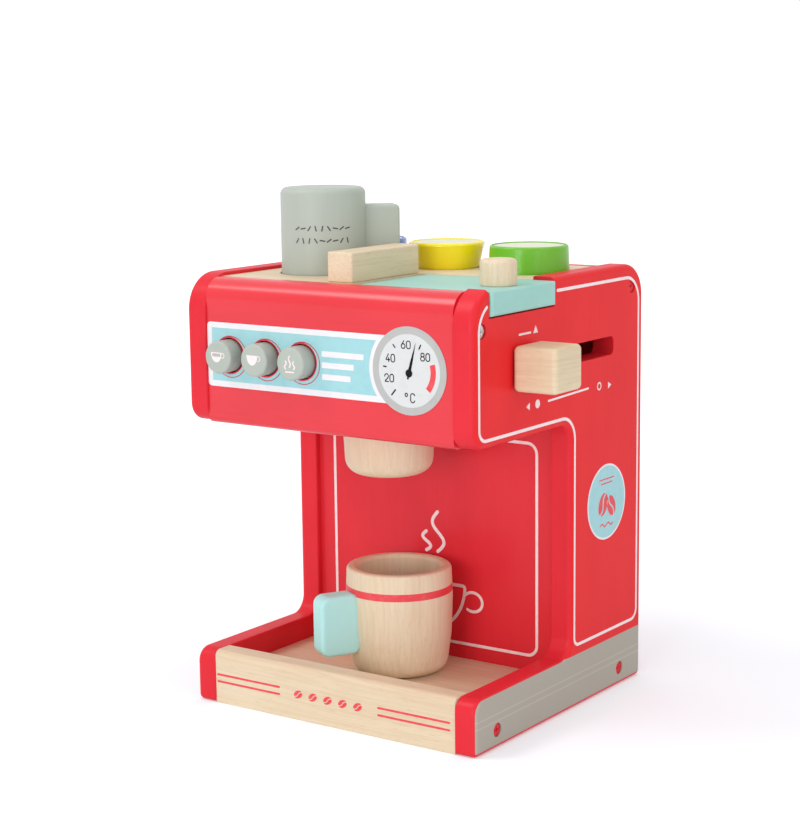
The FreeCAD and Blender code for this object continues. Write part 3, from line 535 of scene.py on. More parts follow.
# %% Metal and inks
INKS = {  # colour, colour where it is worn, roughness and gloss
    "white_ink": ((248, 232, 232), (243, 214, 216), 0.5, 0.5),
    "red_ink": ((232, 62, 72), (234, 90, 94), 0.5, 0.5),
    "dark_ink": ((72, 74, 74), (92, 94, 92), 0.5, 0.5),
    "dial_black": ((22, 20, 22), (32, 30, 32), 0.45, 0.1),
    "label_white": ((238, 234, 237), (232, 228, 231), 0.34, 0.5),
    "dial_white": ((218, 218, 217), (212, 212, 212), 0.34, 0.5),
    "label_aqua": ((160, 210, 215), (153, 204, 210), 0.34, 0.5),
    "label_grey": ((184, 183, 180), (178, 177, 174), 0.34, 0.5),
    "ring_ink": ((196, 36, 64), (206, 56, 80), 0.5, 0.5),
}


def metal(name, colour, roughness):
    """Plated steel with a cloudy polish."""
    tree, surface = start_material(name)
    cloud = stretched_noise(tree, object_place(tree), 700, 700, 3)
    polish = ramp(tree, cloud, 0.3, 0.7, roughness - 0.08, roughness + 0.1)
    feed(tree, surface, Base_Color=paint(*colour), Metallic=1.0, Roughness=polish)


def ink(name, colour, worn, roughness, gloss):
    """Printed ink or film, slightly uneven."""
    tree, surface = start_material(name)
    patch = stretched_noise(tree, object_place(tree), 260, 260, 4)
    uneven = blend(tree, ramp(tree, patch, 0.42, 0.75, 0.0, 0.7), paint(*colour), paint(*worn))
    polish = ramp(tree, patch, 0.3, 0.7, roughness - 0.06, roughness + 0.06)
    feed(tree, surface, Base_Color=uneven, Roughness=polish, Specular_IOR_Level=gloss)


metal("steel", (196, 194, 190), 0.32)
for name, values in INKS.items():
    ink(name, *values)
print("all finishes:", len(LOOKS))

# %% [markdown]
# ## Finishes for the frame's own pieces
# Boards that are right as they are keep their shape and only get a finish. The grain of a board
# runs along its length, so the wood is picked by the board's direction.

# %% Finish the boards
FINISHES = {
    "panel_red": ["left_side_panel", "right_side_panel"],
    "red_across": ["front_fascia", "head_floor"],
    "red_upright": ["back_wall", "rear_panel"],
    "wood_across": [
        "top_deck", "base_board", "front_rail", "lever_stem", "pod_carriage", "button_guide",
    ],
    "wood_deep": ["hinge_bar", "carriage_rail", "carriage_ledge", "lever_knob"],
    "wood_upright": ["bar_dowels", "brew_head", "mug_cup", "lid_knob"],
    "aqua": ["lid_board", "mug_handle"],
    "grey": ["shaker_body", "shaker_handle"]
    + [name + part for name in BUTTON_NAMES for part in ("_button", "_collar")],
    "steel": ["panel_screws", "hinge_pins"] + [name + "_spring" for name in BUTTON_NAMES],
    "blue": ["blue_pod"],
    "yellow": ["yellow_pod"],
    "green": ["green_pod"],
    "white": ["blue_pod_lid", "yellow_pod_lid", "green_pod_lid"],
}
for finish, names in FINISHES.items():
    for name in names:
        slots = frame["nodes"][name].data.materials
        slots.clear()
        slots.append(LOOKS[finish])
unfinished = set(frame["nodes"]) - {name for names in FINISHES.values() for name in names}
print("boards without a finish:", unfinished or "none")

# %% [markdown]
# ## Surfaces from numbers
# New pieces are grids of points worked out with numpy. A grid has rows and columns of points, and
# each square between four of them becomes a face. Points that fall together, as at a pole, are
# merged, so the surface is closed. A subdivided cube or a spin would do too, but a grid says
# exactly where every point lies.

# %% Surface helpers
SLOTS = {part["node"]: part["material_slot"] for part in frame["record"]["subparts"]}


def grid_faces(rows, columns, wrap):
    """The four corners of each square of a grid, which may wrap round its columns.

    A point's number is its row times the number of columns, plus its column."""
    across = columns if wrap else columns - 1
    row, column = np.meshgrid(np.arange(rows - 1), np.arange(across), indexing="ij")
    here, after = row * columns, (column + 1) % columns
    square = (here + column, here + after, here + columns + after, here + columns + column)
    return np.stack(square, axis=-1).reshape(-1, 4)


def joined(grids):
    """Several grids as one: each grid's face numbers start after the points before it."""
    points, faces, count = [], [], 0
    for grid_points, grid_squares in grids:
        points.append(grid_points)
        faces.append(grid_squares + count)
        count += len(grid_points)
    return np.vstack(points), np.vstack(faces)


def finish_piece(name, mesh, finish, body, slot, smooth=True):
    """Merge doubles, set the material, and let the new piece ride on its body."""
    work = bmesh.new()
    work.from_mesh(mesh)
    bmesh.ops.remove_doubles(work, verts=work.verts, dist=0.000002)
    bmesh.ops.dissolve_degenerate(work, edges=work.edges, dist=0.000001)
    bmesh.ops.recalc_face_normals(work, faces=work.faces)
    work.to_mesh(mesh)
    work.free()
    mesh.polygons.foreach_set("use_smooth", np.full(len(mesh.polygons), smooth))
    mesh.materials.append(LOOKS[finish])
    piece = bpy.data.objects.new(name, mesh)
    scene.collection.objects.link(piece)
    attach(piece, body)
    print(name + ":", len(mesh.polygons), "faces")
    return piece


def surface(name, points, faces, finish, body, slot):
    """A smooth piece from points in millimetres and faces."""
    mesh = bpy.data.meshes.new(name)
    mesh.from_pydata((points * MM).tolist(), [], faces.tolist())
    return finish_piece(name, mesh, finish, body, slot)


print("material slots in the record:", len(set(SLOTS.values())))

# %% [markdown]
# ## Rounded profiles and the lathe
# Real wood has no sharp corners: they are sanded before the paint goes on. A Bevel modifier could
# round a finished piece, but here each corner of a profile gets its own radius before it is
# turned, so the roundings are part of the shape and no modifier is left on it.

# %% Profiles and lathe
TURNS = 128


def unit(way):
    """A direction divided by its length."""
    return way / np.linalg.norm(way)


def rounded(points, radii, closed=False, steps=8, guard=0.12):
    """A polyline with its corners turned into arcs, each of its own radius.

    An arc's centre lies on the line that halves the corner, at the radius over the sine of half
    the angle. It starts and ends at the radius over the tangent of that half. A guard point
    beyond each end keeps the straight part flat where it is shaded smooth."""
    points = np.asarray(points, float)
    path = []
    count = len(points)
    for i in range(count):
        corner, radius = points[i], radii[i]
        if radius == 0 or (not closed and i in (0, count - 1)):
            path.append(corner[None])
            continue
        back = unit(points[i - 1] - corner)
        ahead = unit(points[(i + 1) % count] - corner)
        half = math.acos(np.clip(back @ ahead, -1, 1)) / 2
        centre = corner + unit(back + ahead) * radius / math.sin(half)
        start = corner + back * radius / math.tan(half) - centre
        end = corner + ahead * radius / math.tan(half) - centre
        sweep = math.atan2(start[0] * end[1] - start[1] * end[0], start @ end)
        angles = math.atan2(start[1], start[0]) + sweep * np.linspace(0, 1, steps + 1)
        arc = centre + radius * np.column_stack([np.cos(angles), np.sin(angles)])
        margin = guard * radius
        guarded = [arc[:1] + back * margin, arc, arc[-1:] + ahead * margin]
        path.append(np.vstack(guarded) if guard else arc)
    return np.vstack(path)


def lathe(name, profile, centre, finish, body, slot, node_name=None, axis="Z"):
    """A turned piece: each point of a profile of radius and height goes round the axis.

    Its place is the radius times the cosine and the sine of the angle, and the height."""
    angle = np.linspace(0, 2 * np.pi, TURNS, endpoint=False)
    radius, height = profile[:, 0][:, None], profile[:, 1][:, None]
    side, other, along = radius * np.cos(angle), radius * np.sin(angle), height + 0 * angle
    axes = (side, other, along) if axis == "Z" else (side, along, other)
    points = np.stack(axes, axis=-1).reshape(-1, 3) + np.asarray(centre)
    piece = surface(name, points, grid_faces(len(profile), TURNS, True), finish, body, slot)
    if node_name:
        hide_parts(node_name)


print("points round a turned piece:", TURNS)

# %% [markdown]
# ## Prints
# Ink and labels lie on a surface as a film a few hundredths of a millimetre thick. Each one is
# drawn flat, in millimetres, as a filled outline, and then laid on its board by a function that
# turns across, up and lift into a place. Curves fill outlines with holes without any extra work.

# %% Print helpers
FILM = 0.05


def on_front(y):
    """A function that lays a drawing on a board that faces the front."""
    return lambda across, up, lift: np.column_stack([across, y - lift, up])


def on_right(across, up, lift):
    """Lay a drawing on the right side."""
    return np.column_stack([SIDE + lift, across, up])


def on_left(across, up, lift):
    """Lay a drawing on the left side."""
    return np.column_stack([-SIDE - lift, -across, up])


def arc(x, z, wide, high, angle):
    """Points of an ellipse: half its width times the cosine, half its height times the sine."""
    return np.column_stack([x + wide * np.cos(angle), z + high * np.sin(angle)])


def circle(x, z, radius, steps=64):
    """A circle as a closed outline."""
    return arc(x, z, radius, radius, np.linspace(0, 2 * np.pi, steps, endpoint=False))


def rectangle(x0, z0, x1, z1, radius=0.0):
    """A rectangle with rounded corners as a closed outline."""
    return rounded([(x0, z0), (x1, z0), (x1, z1), (x0, z1)], [radius] * 4, closed=True)


print("a film is %.2f mm thick" % FILM)

# %% [markdown]
# ## Ribbons and films
# Most of the prints are lines of even width. A curve with a bevel would make a round wire, so a
# line is drawn as the outline of a flat ribbon instead. The same film then takes ribbons,
# circles and any other outline, and an outline inside another becomes a hole.

# %% Ribbons and films


def ribbon(path, width, closed=False):
    """The outline of a line of some width along a path, with round ends where it is open.

    Its two sides are the path moved by half the width, at right angles to its heading."""
    path = np.asarray(path, float)
    if closed:
        heading = np.roll(path, -1, axis=0) - np.roll(path, 1, axis=0)
    else:
        heading = np.gradient(path, axis=0)
    heading = heading / np.linalg.norm(heading, axis=1)[:, None]
    normal = np.column_stack([-heading[:, 1], heading[:, 0]]) * width / 2
    if closed:
        return [path + normal, path - normal]
    turn = np.linspace(0, np.pi, 7)[1:-1, None]
    end = path[-1] + normal[-1] * np.cos(turn) + heading[-1] * np.sin(turn) * width / 2
    start = path[0] - normal[0] * np.cos(turn) - heading[0] * np.sin(turn) * width / 2
    return [np.vstack([path + normal, end, (path - normal)[::-1], start])]


def film(name, outlines, place, finish, body="machine", slot="red_paint", lift=FILM):
    """A filled drawing, with holes where outlines lie inside others.

    The flat curve becomes a mesh, and each of its points is then laid on the surface."""
    curve = bpy.data.curves.new(name, "CURVE")
    curve.dimensions = "2D"
    curve.fill_mode = "BOTH"
    curve.extrude = FILM / 2
    for outline in outlines:
        spline = curve.splines.new("POLY")
        spline.points.add(len(outline) - 1)
        rows = np.column_stack([outline, np.zeros(len(outline)), np.ones(len(outline))])
        spline.points.foreach_set("co", rows.astype(np.float32).ravel())
        spline.use_cyclic_u = True
    holder = bpy.data.objects.new(name, curve)
    mesh = bpy.data.meshes.new_from_object(holder)
    bpy.data.objects.remove(holder)
    flat = np.empty(len(mesh.vertices) * 3, np.float32)
    mesh.vertices.foreach_get("co", flat)
    across, up, rise = flat.reshape(-1, 3).astype(float).T
    laid = place(across, up, rise + lift) * MM
    mesh.vertices.foreach_set("co", laid.astype(np.float32).ravel())
    finish_piece(name, mesh, finish, body, slot, smooth=False)


print("a straight ribbon has %d points" % len(ribbon([(0, 0), (1, 0)], 1)[0]))

# %% [markdown]
# ## Lines on the sides
# The white line on each side follows the panel's own outline, a few millimetres inside it. On the
# right it breaks where the lid's end lies over the edge. It is a ribbon along a rounded path, so
# its width is the same all the way, which a scaled copy of the outline would not give.

# %% Lines on the sides
LINE = 1.7
LINE_FRONT, LINE_BACK = FRONT + 5, BACK - 5.7
LINE_TOP, LINE_CHIN, LINE_FOOT = TOP - 7.3, 163.5, 35.4
LINE_COLUMN = 11.8
LINE_RADII = [15, 6, 13, 4.5, 6, 14]
LID_GAP = 0.8
NOTCH_FRONT = corners("lid_board")[0][1] - LID_GAP
NOTCH_BACK = corners("lid_board")[1][1] + LID_GAP

side_corners = [
    (LINE_FRONT, LINE_TOP), (LINE_FRONT, LINE_CHIN), (LINE_COLUMN, LINE_CHIN),
    (LINE_COLUMN, LINE_FOOT), (LINE_BACK, LINE_FOOT), (LINE_BACK, LINE_TOP),
]
open_corners = [(NOTCH_FRONT + 2, LINE_TOP)] + side_corners + [(NOTCH_BACK + 3, LINE_TOP)]
right_line = rounded(open_corners, [0] + LINE_RADII + [0], steps=12)
line_y, line_z = right_line.T
clear_of_lid = (line_y < NOTCH_FRONT - 0.4) | (line_y > NOTCH_BACK) | (line_z < LINE_TOP - 3)
film("right_line", ribbon(right_line[clear_of_lid], LINE), on_right, "white_ink")
left_line = rounded(side_corners, LINE_RADII, closed=True, steps=12)
film("left_line", ribbon(left_line * (-1, 1), LINE, closed=True), on_left, "white_ink")

# %% [markdown]
# ## Marks round the lever
# Round the lever are printed marks that say which way it goes: arrow heads, dots and thin lines.
# Each is a plain outline, and one film holds them all, because they are one print.

# %% Marks round the lever
MARK = 1.1
UP_ARROW = (-29, 214.2, 2.7, 90)
FORWARD_ARROW, BACK_ARROW = (-36, 175.2, 2.3, 180), (49, 175.2, 2.3, 0)
LID_DASH, LEVER_DASH = [(-45, 213.6), (-34, 213.6)], [(-16, 175.4), (26, 176.4)]
DOTS = [(-27, 175.4, 2.3), (38, 176, 2.3), (38, 176, 1.5)]


def arrow_head(y, z, size, turn):
    """A triangle: three points on a circle, a third of a turn apart."""
    return arc(y, z, size, size, np.radians(turn) + np.array([0, 2 * np.pi / 3, 4 * np.pi / 3]))


marks = [arrow_head(*UP_ARROW)] + ribbon(LID_DASH, MARK)
marks += [arrow_head(*FORWARD_ARROW), arrow_head(*BACK_ARROW)] + ribbon(LEVER_DASH, MARK)
marks += [circle(*dot) for dot in DOTS]
film("lever_marks", marks, on_right, "white_ink")

# %% [markdown]
# ## Round label
# The round label on the column is a paper sticker: a pale rim, an aqua field, and a drawing in
# red, of a pair of coffee beans between thin lines. Three films lie one on the other.

# %% Round label
LABEL_PLACE = (47, 109.9)
LABEL_RADIUS = 21.3
LABEL_RIM = 1.1
LABEL_BEANS = [(-4, -1, 6.5, 62), (5.2, -3, 6, 118)]
LABEL_LINES, LABEL_STROKE = [(8, 13), (6, 10.6)], 0.7
WAVE_HALF, WAVE_DROP, WAVE_HEIGHT, WAVE_TURNS, WAVE_STROKE = 7, 13, 0.9, 0.9, 0.8


def bean(x, z, size, turn):
    """A coffee bean: half an ellipse on each side of a slit that follows a sine, both turned."""
    angle = np.radians(turn)
    matrix = np.array([[np.cos(angle), np.sin(angle)], [-np.sin(angle), np.cos(angle)]])
    slit = np.column_stack([np.linspace(-1, 1, 20), 0.16 * np.sin(np.linspace(-np.pi, np.pi, 20))])
    shapes = []
    for side in (1, -1):
        rim = arc(0, side * 0.12, 1, side * 0.6, np.linspace(0, np.pi, 20))
        shapes.append(np.vstack([rim, slit + (0, side * 0.1)]) * size @ matrix + (x, z))
    return shapes


y, z = LABEL_PLACE
film("round_label_rim", [circle(y, z, LABEL_RADIUS, 96)], on_right, "label_white")
field = circle(y, z, LABEL_RADIUS - LABEL_RIM, 96)
film("round_label_field", [field], on_right, "label_aqua", lift=0.1)
drawing = []
for shift, rise, size, turn in LABEL_BEANS:
    drawing += bean(y + shift, z + rise, size, turn)
for half, rise in LABEL_LINES:
    drawing += ribbon([(y - half, z + rise), (y + half, z + rise)], LABEL_STROKE)
wave = np.linspace(-WAVE_HALF, WAVE_HALF, 30)
ripples = z - WAVE_DROP + WAVE_HEIGHT * np.sin(wave * WAVE_TURNS)
drawing += ribbon(np.column_stack([y + wave, ripples]), WAVE_STROKE)
film("round_label_beans", drawing, on_right, "red_ink", lift=0.15)

# %% [markdown]
# ## The front label
# One long sticker frames the buttons and runs into the dial. It is white with an aqua field,
# with holes for the three buttons, a thin red ring round each, and three short bars. The field's
# end is an arc round the dial, so the white edge between them has an even width.

# %% Front label
DIAL = (53.5, 197.3)
DIAL_RADIUS = 22.7
BUTTON_X = [middle(name + "_button")[0] for name in BUTTON_NAMES]
BUTTON_Z = middle("full_cup_button")[2]
HOLE_RADIUS = 10.3
LABEL_LEFT, LABEL_LOW, LABEL_HIGH = -79.7, 179.6, 214.6
LABEL_ROUND = 2.2
EDGE_WHITE, EDGE_TOP, EDGE_DIAL = 3.2, 3.0, 2.3
RING_SHIFT = (0.9, -0.7)
RING_RADII = (11.45, 10.95)
BARS = [(202.2, 25.0), (196.3, 18.6), (190.1, 16.5)]
BAR_START, BAR_HALF, BAR_ROUND = -2, 1.5, 0.3
front = on_front(FASCIA)

holes = [circle(x, BUTTON_Z, HOLE_RADIUS) for x in BUTTON_X]
plate = [
    (LABEL_LEFT, LABEL_LOW), (DIAL[0], LABEL_LOW), (DIAL[0], LABEL_HIGH), (LABEL_LEFT, LABEL_HIGH),
]
plate = rounded(plate, [LABEL_ROUND, 0, 0, LABEL_ROUND], closed=True)
film("front_label", [plate] + holes, front, "label_white")

field_left, field_low = LABEL_LEFT + EDGE_WHITE, LABEL_LOW + EDGE_WHITE
field_high = LABEL_HIGH - EDGE_TOP
gap = DIAL_RADIUS + EDGE_DIAL
sweep = np.linspace(*(math.acos((level - DIAL[1]) / gap) for level in (field_low, field_high)), 24)
edge = np.column_stack([DIAL[0] - gap * np.sin(sweep), DIAL[1] + gap * np.cos(sweep)])
field = np.vstack([[(field_left, field_high), (field_left, field_low)], edge])
film("front_field", [field] + holes, front, "label_aqua", lift=0.1)

rings = [
    circle(x + RING_SHIFT[0], BUTTON_Z + RING_SHIFT[1], radius)
    for x in BUTTON_X for radius in RING_RADII
]
film("button_rings", rings, front, "ring_ink", lift=0.15)
bars = [
    rectangle(BAR_START, height - BAR_HALF, end, height + BAR_HALF, BAR_ROUND)
    for height, end in BARS
]
film("front_bars", bars, front, "label_white", lift=0.15)

# %% [markdown]
# ## The dial
# The dial is a printed disc: a grey rim, a white face, plain numbers, a red arc for hot, and a
# black pointer. Each layer lies a little higher than the one under it, so none of them flicker.

# %% Dial
FACE_RADIUS = 18.8
HOT_SPAN, HOT_RADII = (16, -39), (16.3, 13.1)
TICKS = [  # angle, inner end, outer end and width
    (175, 14.3, 15.9, 0.75), (127, 14.3, 16.2, 0.65),
    (62, 13.2, 15.4, 0.75), (230, 13.4, 17.0, 0.8),
]


def dial_point(radius, degrees):
    """Points of the dial at a distance from its middle; zero degrees is to the right."""
    return arc(*DIAL, radius, radius, np.radians(degrees))


film("dial_rim", [circle(*DIAL, DIAL_RADIUS, 128)], front, "label_grey", lift=0.2)
film("dial_face", [circle(*DIAL, FACE_RADIUS, 128)], front, "dial_white", lift=0.25)
span = np.linspace(*HOT_SPAN, 24)
hot = np.vstack([dial_point(HOT_RADII[0], span), dial_point(HOT_RADII[1], span[::-1])])
film("dial_hot", [hot], front, "red_ink", lift=0.3)
ticks = []
for degrees, inner, outer, width in TICKS:
    ends = np.vstack([dial_point(inner, degrees), dial_point(outer, degrees)])
    ticks += ribbon(ends, width)
film("dial_ticks", ticks, front, "dial_black", lift=0.3)

# %% [markdown]
# ## The dial's figures
# The numbers are thin lines of even width. A text object could give them, but a font's filled
# outlines turn blotchy at this size. So each figure is a path or two with rounded corners, in a
# box one high, and a ribbon gives it its width. Paths that cross go on a second film.

# %% Dial figures
FIGURE_STROKE = 0.56
FIGURE_STEP = 0.92 * 0.9
FIGURE_HALF = 0.29
FIGURES = {  # each path: its points, the radius at each, and whether it is closed
    "0": [([(0, 0), (0.58, 0), (0.58, 1), (0, 1)], [0.28] * 4, True)],
    "2": [(
        [(0, 0.68), (0, 1), (0.58, 1), (0.58, 0.6), (0, 0.0), (0.6, 0.0)],
        [0, 0.27, 0.27, 0.2, 0.05, 0], False,
    )],
    "4": [
        ([(0.42, 1), (0, 0.26), (0.62, 0.26)], [0, 0.05, 0], False),
        ([(0.46, 0.5), (0.46, 0)], [0, 0], False),
    ],
    "6": [
        ([(0, 0), (0.58, 0), (0.58, 0.6), (0, 0.6)], [0.27] * 4, True),
        ([(0.03, 0.38), (0.4, 1)], [0, 0], False),
    ],
    "8": [
        ([(0, 0), (0.6, 0), (0.6, 0.54), (0, 0.54)], [0.26] * 4, True),
        ([(0.05, 0.54), (0.55, 0.54), (0.55, 1), (0.05, 1)], [0.22] * 4, True),
    ],
    "C": [(
        [(0.56, 0.74), (0.56, 1), (0, 1), (0, 0), (0.56, 0), (0.56, 0.26)],
        [0, 0.27, 0.27, 0.27, 0.27, 0], False,
    )],
    "o": [([(0.1, 0.62), (0.4, 0.62), (0.4, 0.98), (0.1, 0.98)], [0.14] * 4, True)],
}
NUMBERS = {  # place from the dial's middle, and height
    "20": (-12.4, -4.4, 3.9), "40": (-11.6, 5.9, 3.9), "60": (-1.9, 13.3, 3.9),
    "80": (9.9, 7.7, 3.9), "oC": (0.2, -13.7, 4.6),
}

strokes = [[], []]
for text, (shift, rise, height) in NUMBERS.items():
    for index, letter in enumerate(text):
        start = (
            DIAL[0] + shift + (index - 0.5) * FIGURE_STEP * height - FIGURE_HALF * height,
            DIAL[1] + rise - height / 2,
        )
        for layer, (path, radii, closed) in enumerate(FIGURES[letter]):
            line = start + height * rounded(path, radii, closed=closed, steps=6, guard=0)
            strokes[layer] += ribbon(line, FIGURE_STROKE, closed=closed)
film("dial_figures", strokes[0], front, "dial_black", lift=0.3)
film("dial_figure_bars", strokes[1], front, "dial_black", lift=0.32)

# %% [markdown]
# ## The dial's pointer
# The pointer is a long thin triangle with a short tail, under a round hub. Its points are given
# along and across the line from hub to tip, so that its angle is set in one place.

# %% Dial pointer
HUB, TIP = np.add(DIAL, (-0.1, -1.2)), np.add(DIAL, (4.2, 14.8))
HUB_RADIUS = 2.05
NEEDLE = [(0, 1.0), (8, 0.62), (8, -0.62), (0, -1.0)]
TAIL = [(0, 0.5), (-3.2, 0.5), (-3.2, -0.5), (0, -0.5)]

way = unit(TIP - HUB)
cross = np.array([-way[1], way[0]])


def along_pointer(outline):
    """Each point is the hub plus so much along the pointer and so much across it."""
    return np.vstack([HUB + way * along + cross * across for along, across in outline])


needle = np.insert(along_pointer(NEEDLE), 2, TIP, axis=0)
film("dial_pointer", [needle, along_pointer(TAIL)], front, "dial_black", lift=0.36)
film("dial_hub", [circle(*HUB, HUB_RADIUS, 32)], front, "dial_black", lift=0.42)

# %% [markdown]
# ## The rail and the back wall
# Two pairs of red lines run along the rail, with a row of beans between them. On the back wall is
# a white frame, and a cup with steam, drawn with the same thin line. The cup's bowl is half an
# ellipse, and each puff of steam is a sine that climbs.

# %% Rail and back wall
STRIPE = 1.2
STRIPE_ROWS = (16.4, 12.4)
STRIPE_ENDS = ((-78.5, -35), (31.5, 76.5))
RAIL_BEANS = [(-22 + 10 * i, 14.4, 2.9, 28) for i in range(5)]
WALL_FRAME = (-69, 25.4, 69, 145.6, 6)
STEAM = ((3.2, 77, 100, 4.6), (-4.6, 77, 88, 3.2))
BOWL, BOWL_CORNER = (0, 59.0, 21.5, 26), 1.5
RING, RING_TURN = (26.8, 50.5, 6.4, 5.6), (140, -125)
STEAM_LINE, BOWL_LINE, RING_LINE = 2.0, 1.9, 1.7
rail, wall = on_front(RAIL), on_front(WALL)


def puff(x, low, high, bend, fade=0.0):
    """A climbing line whose sway is a sine that fades with height."""
    climb = np.linspace(0, 1, 40)
    sway = bend * np.sin(2 * np.pi * climb) * (1 - fade * climb)
    return np.column_stack([x + sway, low + (high - low) * climb])


stripes = []
for row in STRIPE_ROWS:
    for start, end in STRIPE_ENDS:
        stripes += ribbon([(start, row), (end, row)], STRIPE)
film("rail_stripes", stripes, rail, "red_ink", slot="natural_wood")
beans = [half for place in RAIL_BEANS for half in bean(*place)]
film("rail_beans", beans, rail, "red_ink", slot="natural_wood")
film("wall_frame", ribbon(rectangle(*WALL_FRAME), LINE, closed=True), wall, "white_ink")
steam = [outline for place in STEAM for outline in ribbon(puff(*place, fade=0.3), STEAM_LINE)]
film("wall_steam", steam, wall, "white_ink")
bowl = arc(*BOWL, np.linspace(0, -np.pi, 40))
bowl = rounded(bowl, [BOWL_CORNER] + [0] * 38 + [BOWL_CORNER], closed=True, steps=6)
film("wall_bowl", ribbon(bowl, BOWL_LINE, closed=True), wall, "white_ink")
ring = arc(*RING, np.linspace(*np.radians(RING_TURN), 28))
film("wall_ring", ribbon(ring, RING_LINE), wall, "white_ink", lift=0.1)

# %% [markdown]
# ## Icons on the buttons
# Each button shows what it does: a full cup, a half cup and steam. They are white on the grey
# face, and they ride on their own buttons, so they sink with them.

# %% Button icons
BUTTON_FACE = corners("full_cup_button")[0][1]
ICON_STROKE, HANDLE_STROKE = 0.75, 0.5
CUP_SHIFT, CUP_WIDTH, CUP_HEIGHT, CUP_DEPTH = -0.7, 7.4, 5.6, 0.96
HANDLE_PLACE, HANDLE_RADIUS, HANDLE_TURN = (3.4, 1.2), 1.3, (110, -100)
FILL_LEVEL, FILL_ROUND = (-3.5, 0.5, 2.1, 2.2), 0.2
PUFFS = ((-2.7, -2.6, 1.4, -0.55), (0, -1.6, 4.2, 0.55), (2.7, -2.6, 1.4, 0.55))
PLATE_HALF, PLATE_DROP = 2.6, 4.2
face = on_front(BUTTON_FACE)


def cup(x, z):
    """A bowl with half an ellipse for its bottom, and a small ring beside it."""
    half_turn = np.linspace(np.pi, 2 * np.pi, 24)
    rim = z + CUP_HEIGHT / 2
    bowl = arc(x + CUP_SHIFT, rim, CUP_WIDTH / 2, CUP_HEIGHT * CUP_DEPTH, half_turn)
    handle_turn = np.linspace(*np.radians(HANDLE_TURN), 14)
    ring = arc(x + HANDLE_PLACE[0], z + HANDLE_PLACE[1], HANDLE_RADIUS, HANDLE_RADIUS, handle_turn)
    return [bowl] + ribbon(ring, HANDLE_STROKE)


def steam_icon(x, z):
    """Three puffs over a short line."""
    outlines = []
    for shift, low, high, bend in PUFFS:
        outlines += ribbon(puff(x + shift, z + low, z + high, bend), ICON_STROKE)
    ends = [(x - PLATE_HALF, z - PLATE_DROP), (x + PLATE_HALF, z - PLATE_DROP)]
    return outlines + ribbon(ends, ICON_STROKE)


for name, x in zip(BUTTON_NAMES, BUTTON_X):
    icon = steam_icon(x, BUTTON_Z) if name == "steam" else cup(x, BUTTON_Z)
    if name == "full_cup":
        left, low, right, high = FILL_LEVEL
        icon.insert(1, rectangle(x + left, BUTTON_Z + low, x + right, BUTTON_Z + high, FILL_ROUND))
    film(name + "_icon", icon, face, "white_ink", name + "_push", "grey_paint")

# %% [markdown]
# ## Turned pieces
# The mug, the shaker, the pods, the knob, the brew head and the buttons are turned on a lathe. A
# profile of radius against height, with its corners rounded, is carried round the axis. The
# frame's own round pieces have sharper edges, so the smooth ones replace them.

# %% Shaker, brew cup and knob
TURNED = [  # node, name, how much narrower the foot is, its roundings, finish, body and steps
    ("shaker_body", "shaker", 0.0, (1.0, 3.6), "grey", "shaker", 12),
    ("brew_head", "brew_cup", 1.6, (9, 0.3), "wood_upright", "machine", 14),
    ("lid_knob", "knob", 0.0, (0.6, 2.4), "wood_upright", "lid", 10),
]


def foot(piece):
    """The middle of a piece's underside."""
    return (*middle(piece)[:2], corners(piece)[0][2])


def turned(node_name, name, profile, radii, finish, body, steps=8):
    """A turned piece over a node of the frame, from a profile above the node's foot."""
    outline = rounded(profile, radii, steps=steps)
    lathe(name, outline, foot(node_name), finish, body, SLOTS[node_name], node_name)


for node_name, name, narrower, rounds, finish, body, steps in TURNED:
    radius, height = size_of(node_name)
    profile = [(0, 0), (radius - narrower, 0), (radius, height), (0, height)]
    turned(node_name, name, profile, [0, *rounds, 0], finish, body, steps)

# %% [markdown]
# ## The mug
# The mug is one thick-walled turning with a narrow foot, a belly and a lip that draws in a little.
# Its profile goes up the outside, over the lip, and down the inside to the middle of the floor.

# %% Mug
MUG_WALL, MUG_FLOOR = 6.0, 7.0
FOOT_OUTSIDE, FOOT_INSIDE = 26.2, 19.0
MUG_BELLY, MUG_WAIST, WAIST_IN = 43.0, 21.5, 0.8
LIP_IN = 0.7
mug_radius, mug_height = size_of("mug_cup")
rim = mug_radius - LIP_IN
mug_profile = [
    (0, 0), (FOOT_OUTSIDE, 0), (mug_radius - WAIST_IN, MUG_WAIST), (mug_radius, MUG_BELLY),
    (rim, mug_height), (rim - MUG_WALL, mug_height), (mug_radius - MUG_WALL, MUG_BELLY),
    (FOOT_INSIDE, MUG_FLOOR), (0, MUG_FLOOR),
]
MUG_ROUNDS = [0, 7.5, 40, 25, 2, 2.4, 25, 4, 0]
turned("mug_cup", "mug", mug_profile, MUG_ROUNDS, "wood_upright", "mug", 10)

# %% [markdown]
# ## The pods
# Each pod is a painted cup with a shallow well, and a pale foil lies in the well. The yellow one
# is a cone that widens upward, and the others are nearly straight, so one loop makes all three
# with only the radii of foot and brim changed.

# %% Pods
CONE, TAPER = 5, 0.8
POD_RIM, POD_WELL = 2.6, 1.2
FOIL_EDGE, FOIL_MIDDLE = 0.6, 0.9

for colour in ("blue", "yellow", "green"):
    shell, body = colour + "_pod", colour + "_refill"
    radius, height = size_of(shell)
    base, brim = (radius - CONE, radius) if colour == "yellow" else (radius, radius - TAPER)
    rim, well = radius - POD_RIM, height - POD_WELL
    profile = [(0, 0), (base, 0), (brim, height), (rim, height), (rim, well), (0, well)]
    turned(shell, colour + "_shell", profile, [0, 0.8, 1.4, 0.5, 0, 0], colour, body)
    foil = [(0, 0), (rim, 0), (rim, FOIL_EDGE), (0, FOIL_MIDDLE)]
    turned(shell + "_lid", colour + "_foil", foil, [0, 0, 0.3, 0], "white", body, 4)

# %% [markdown]
# ## The buttons
# A button is a short turned stem that lies along Y, with a small rounding round its face. It is
# made with the same lathe, which only swaps two axes.

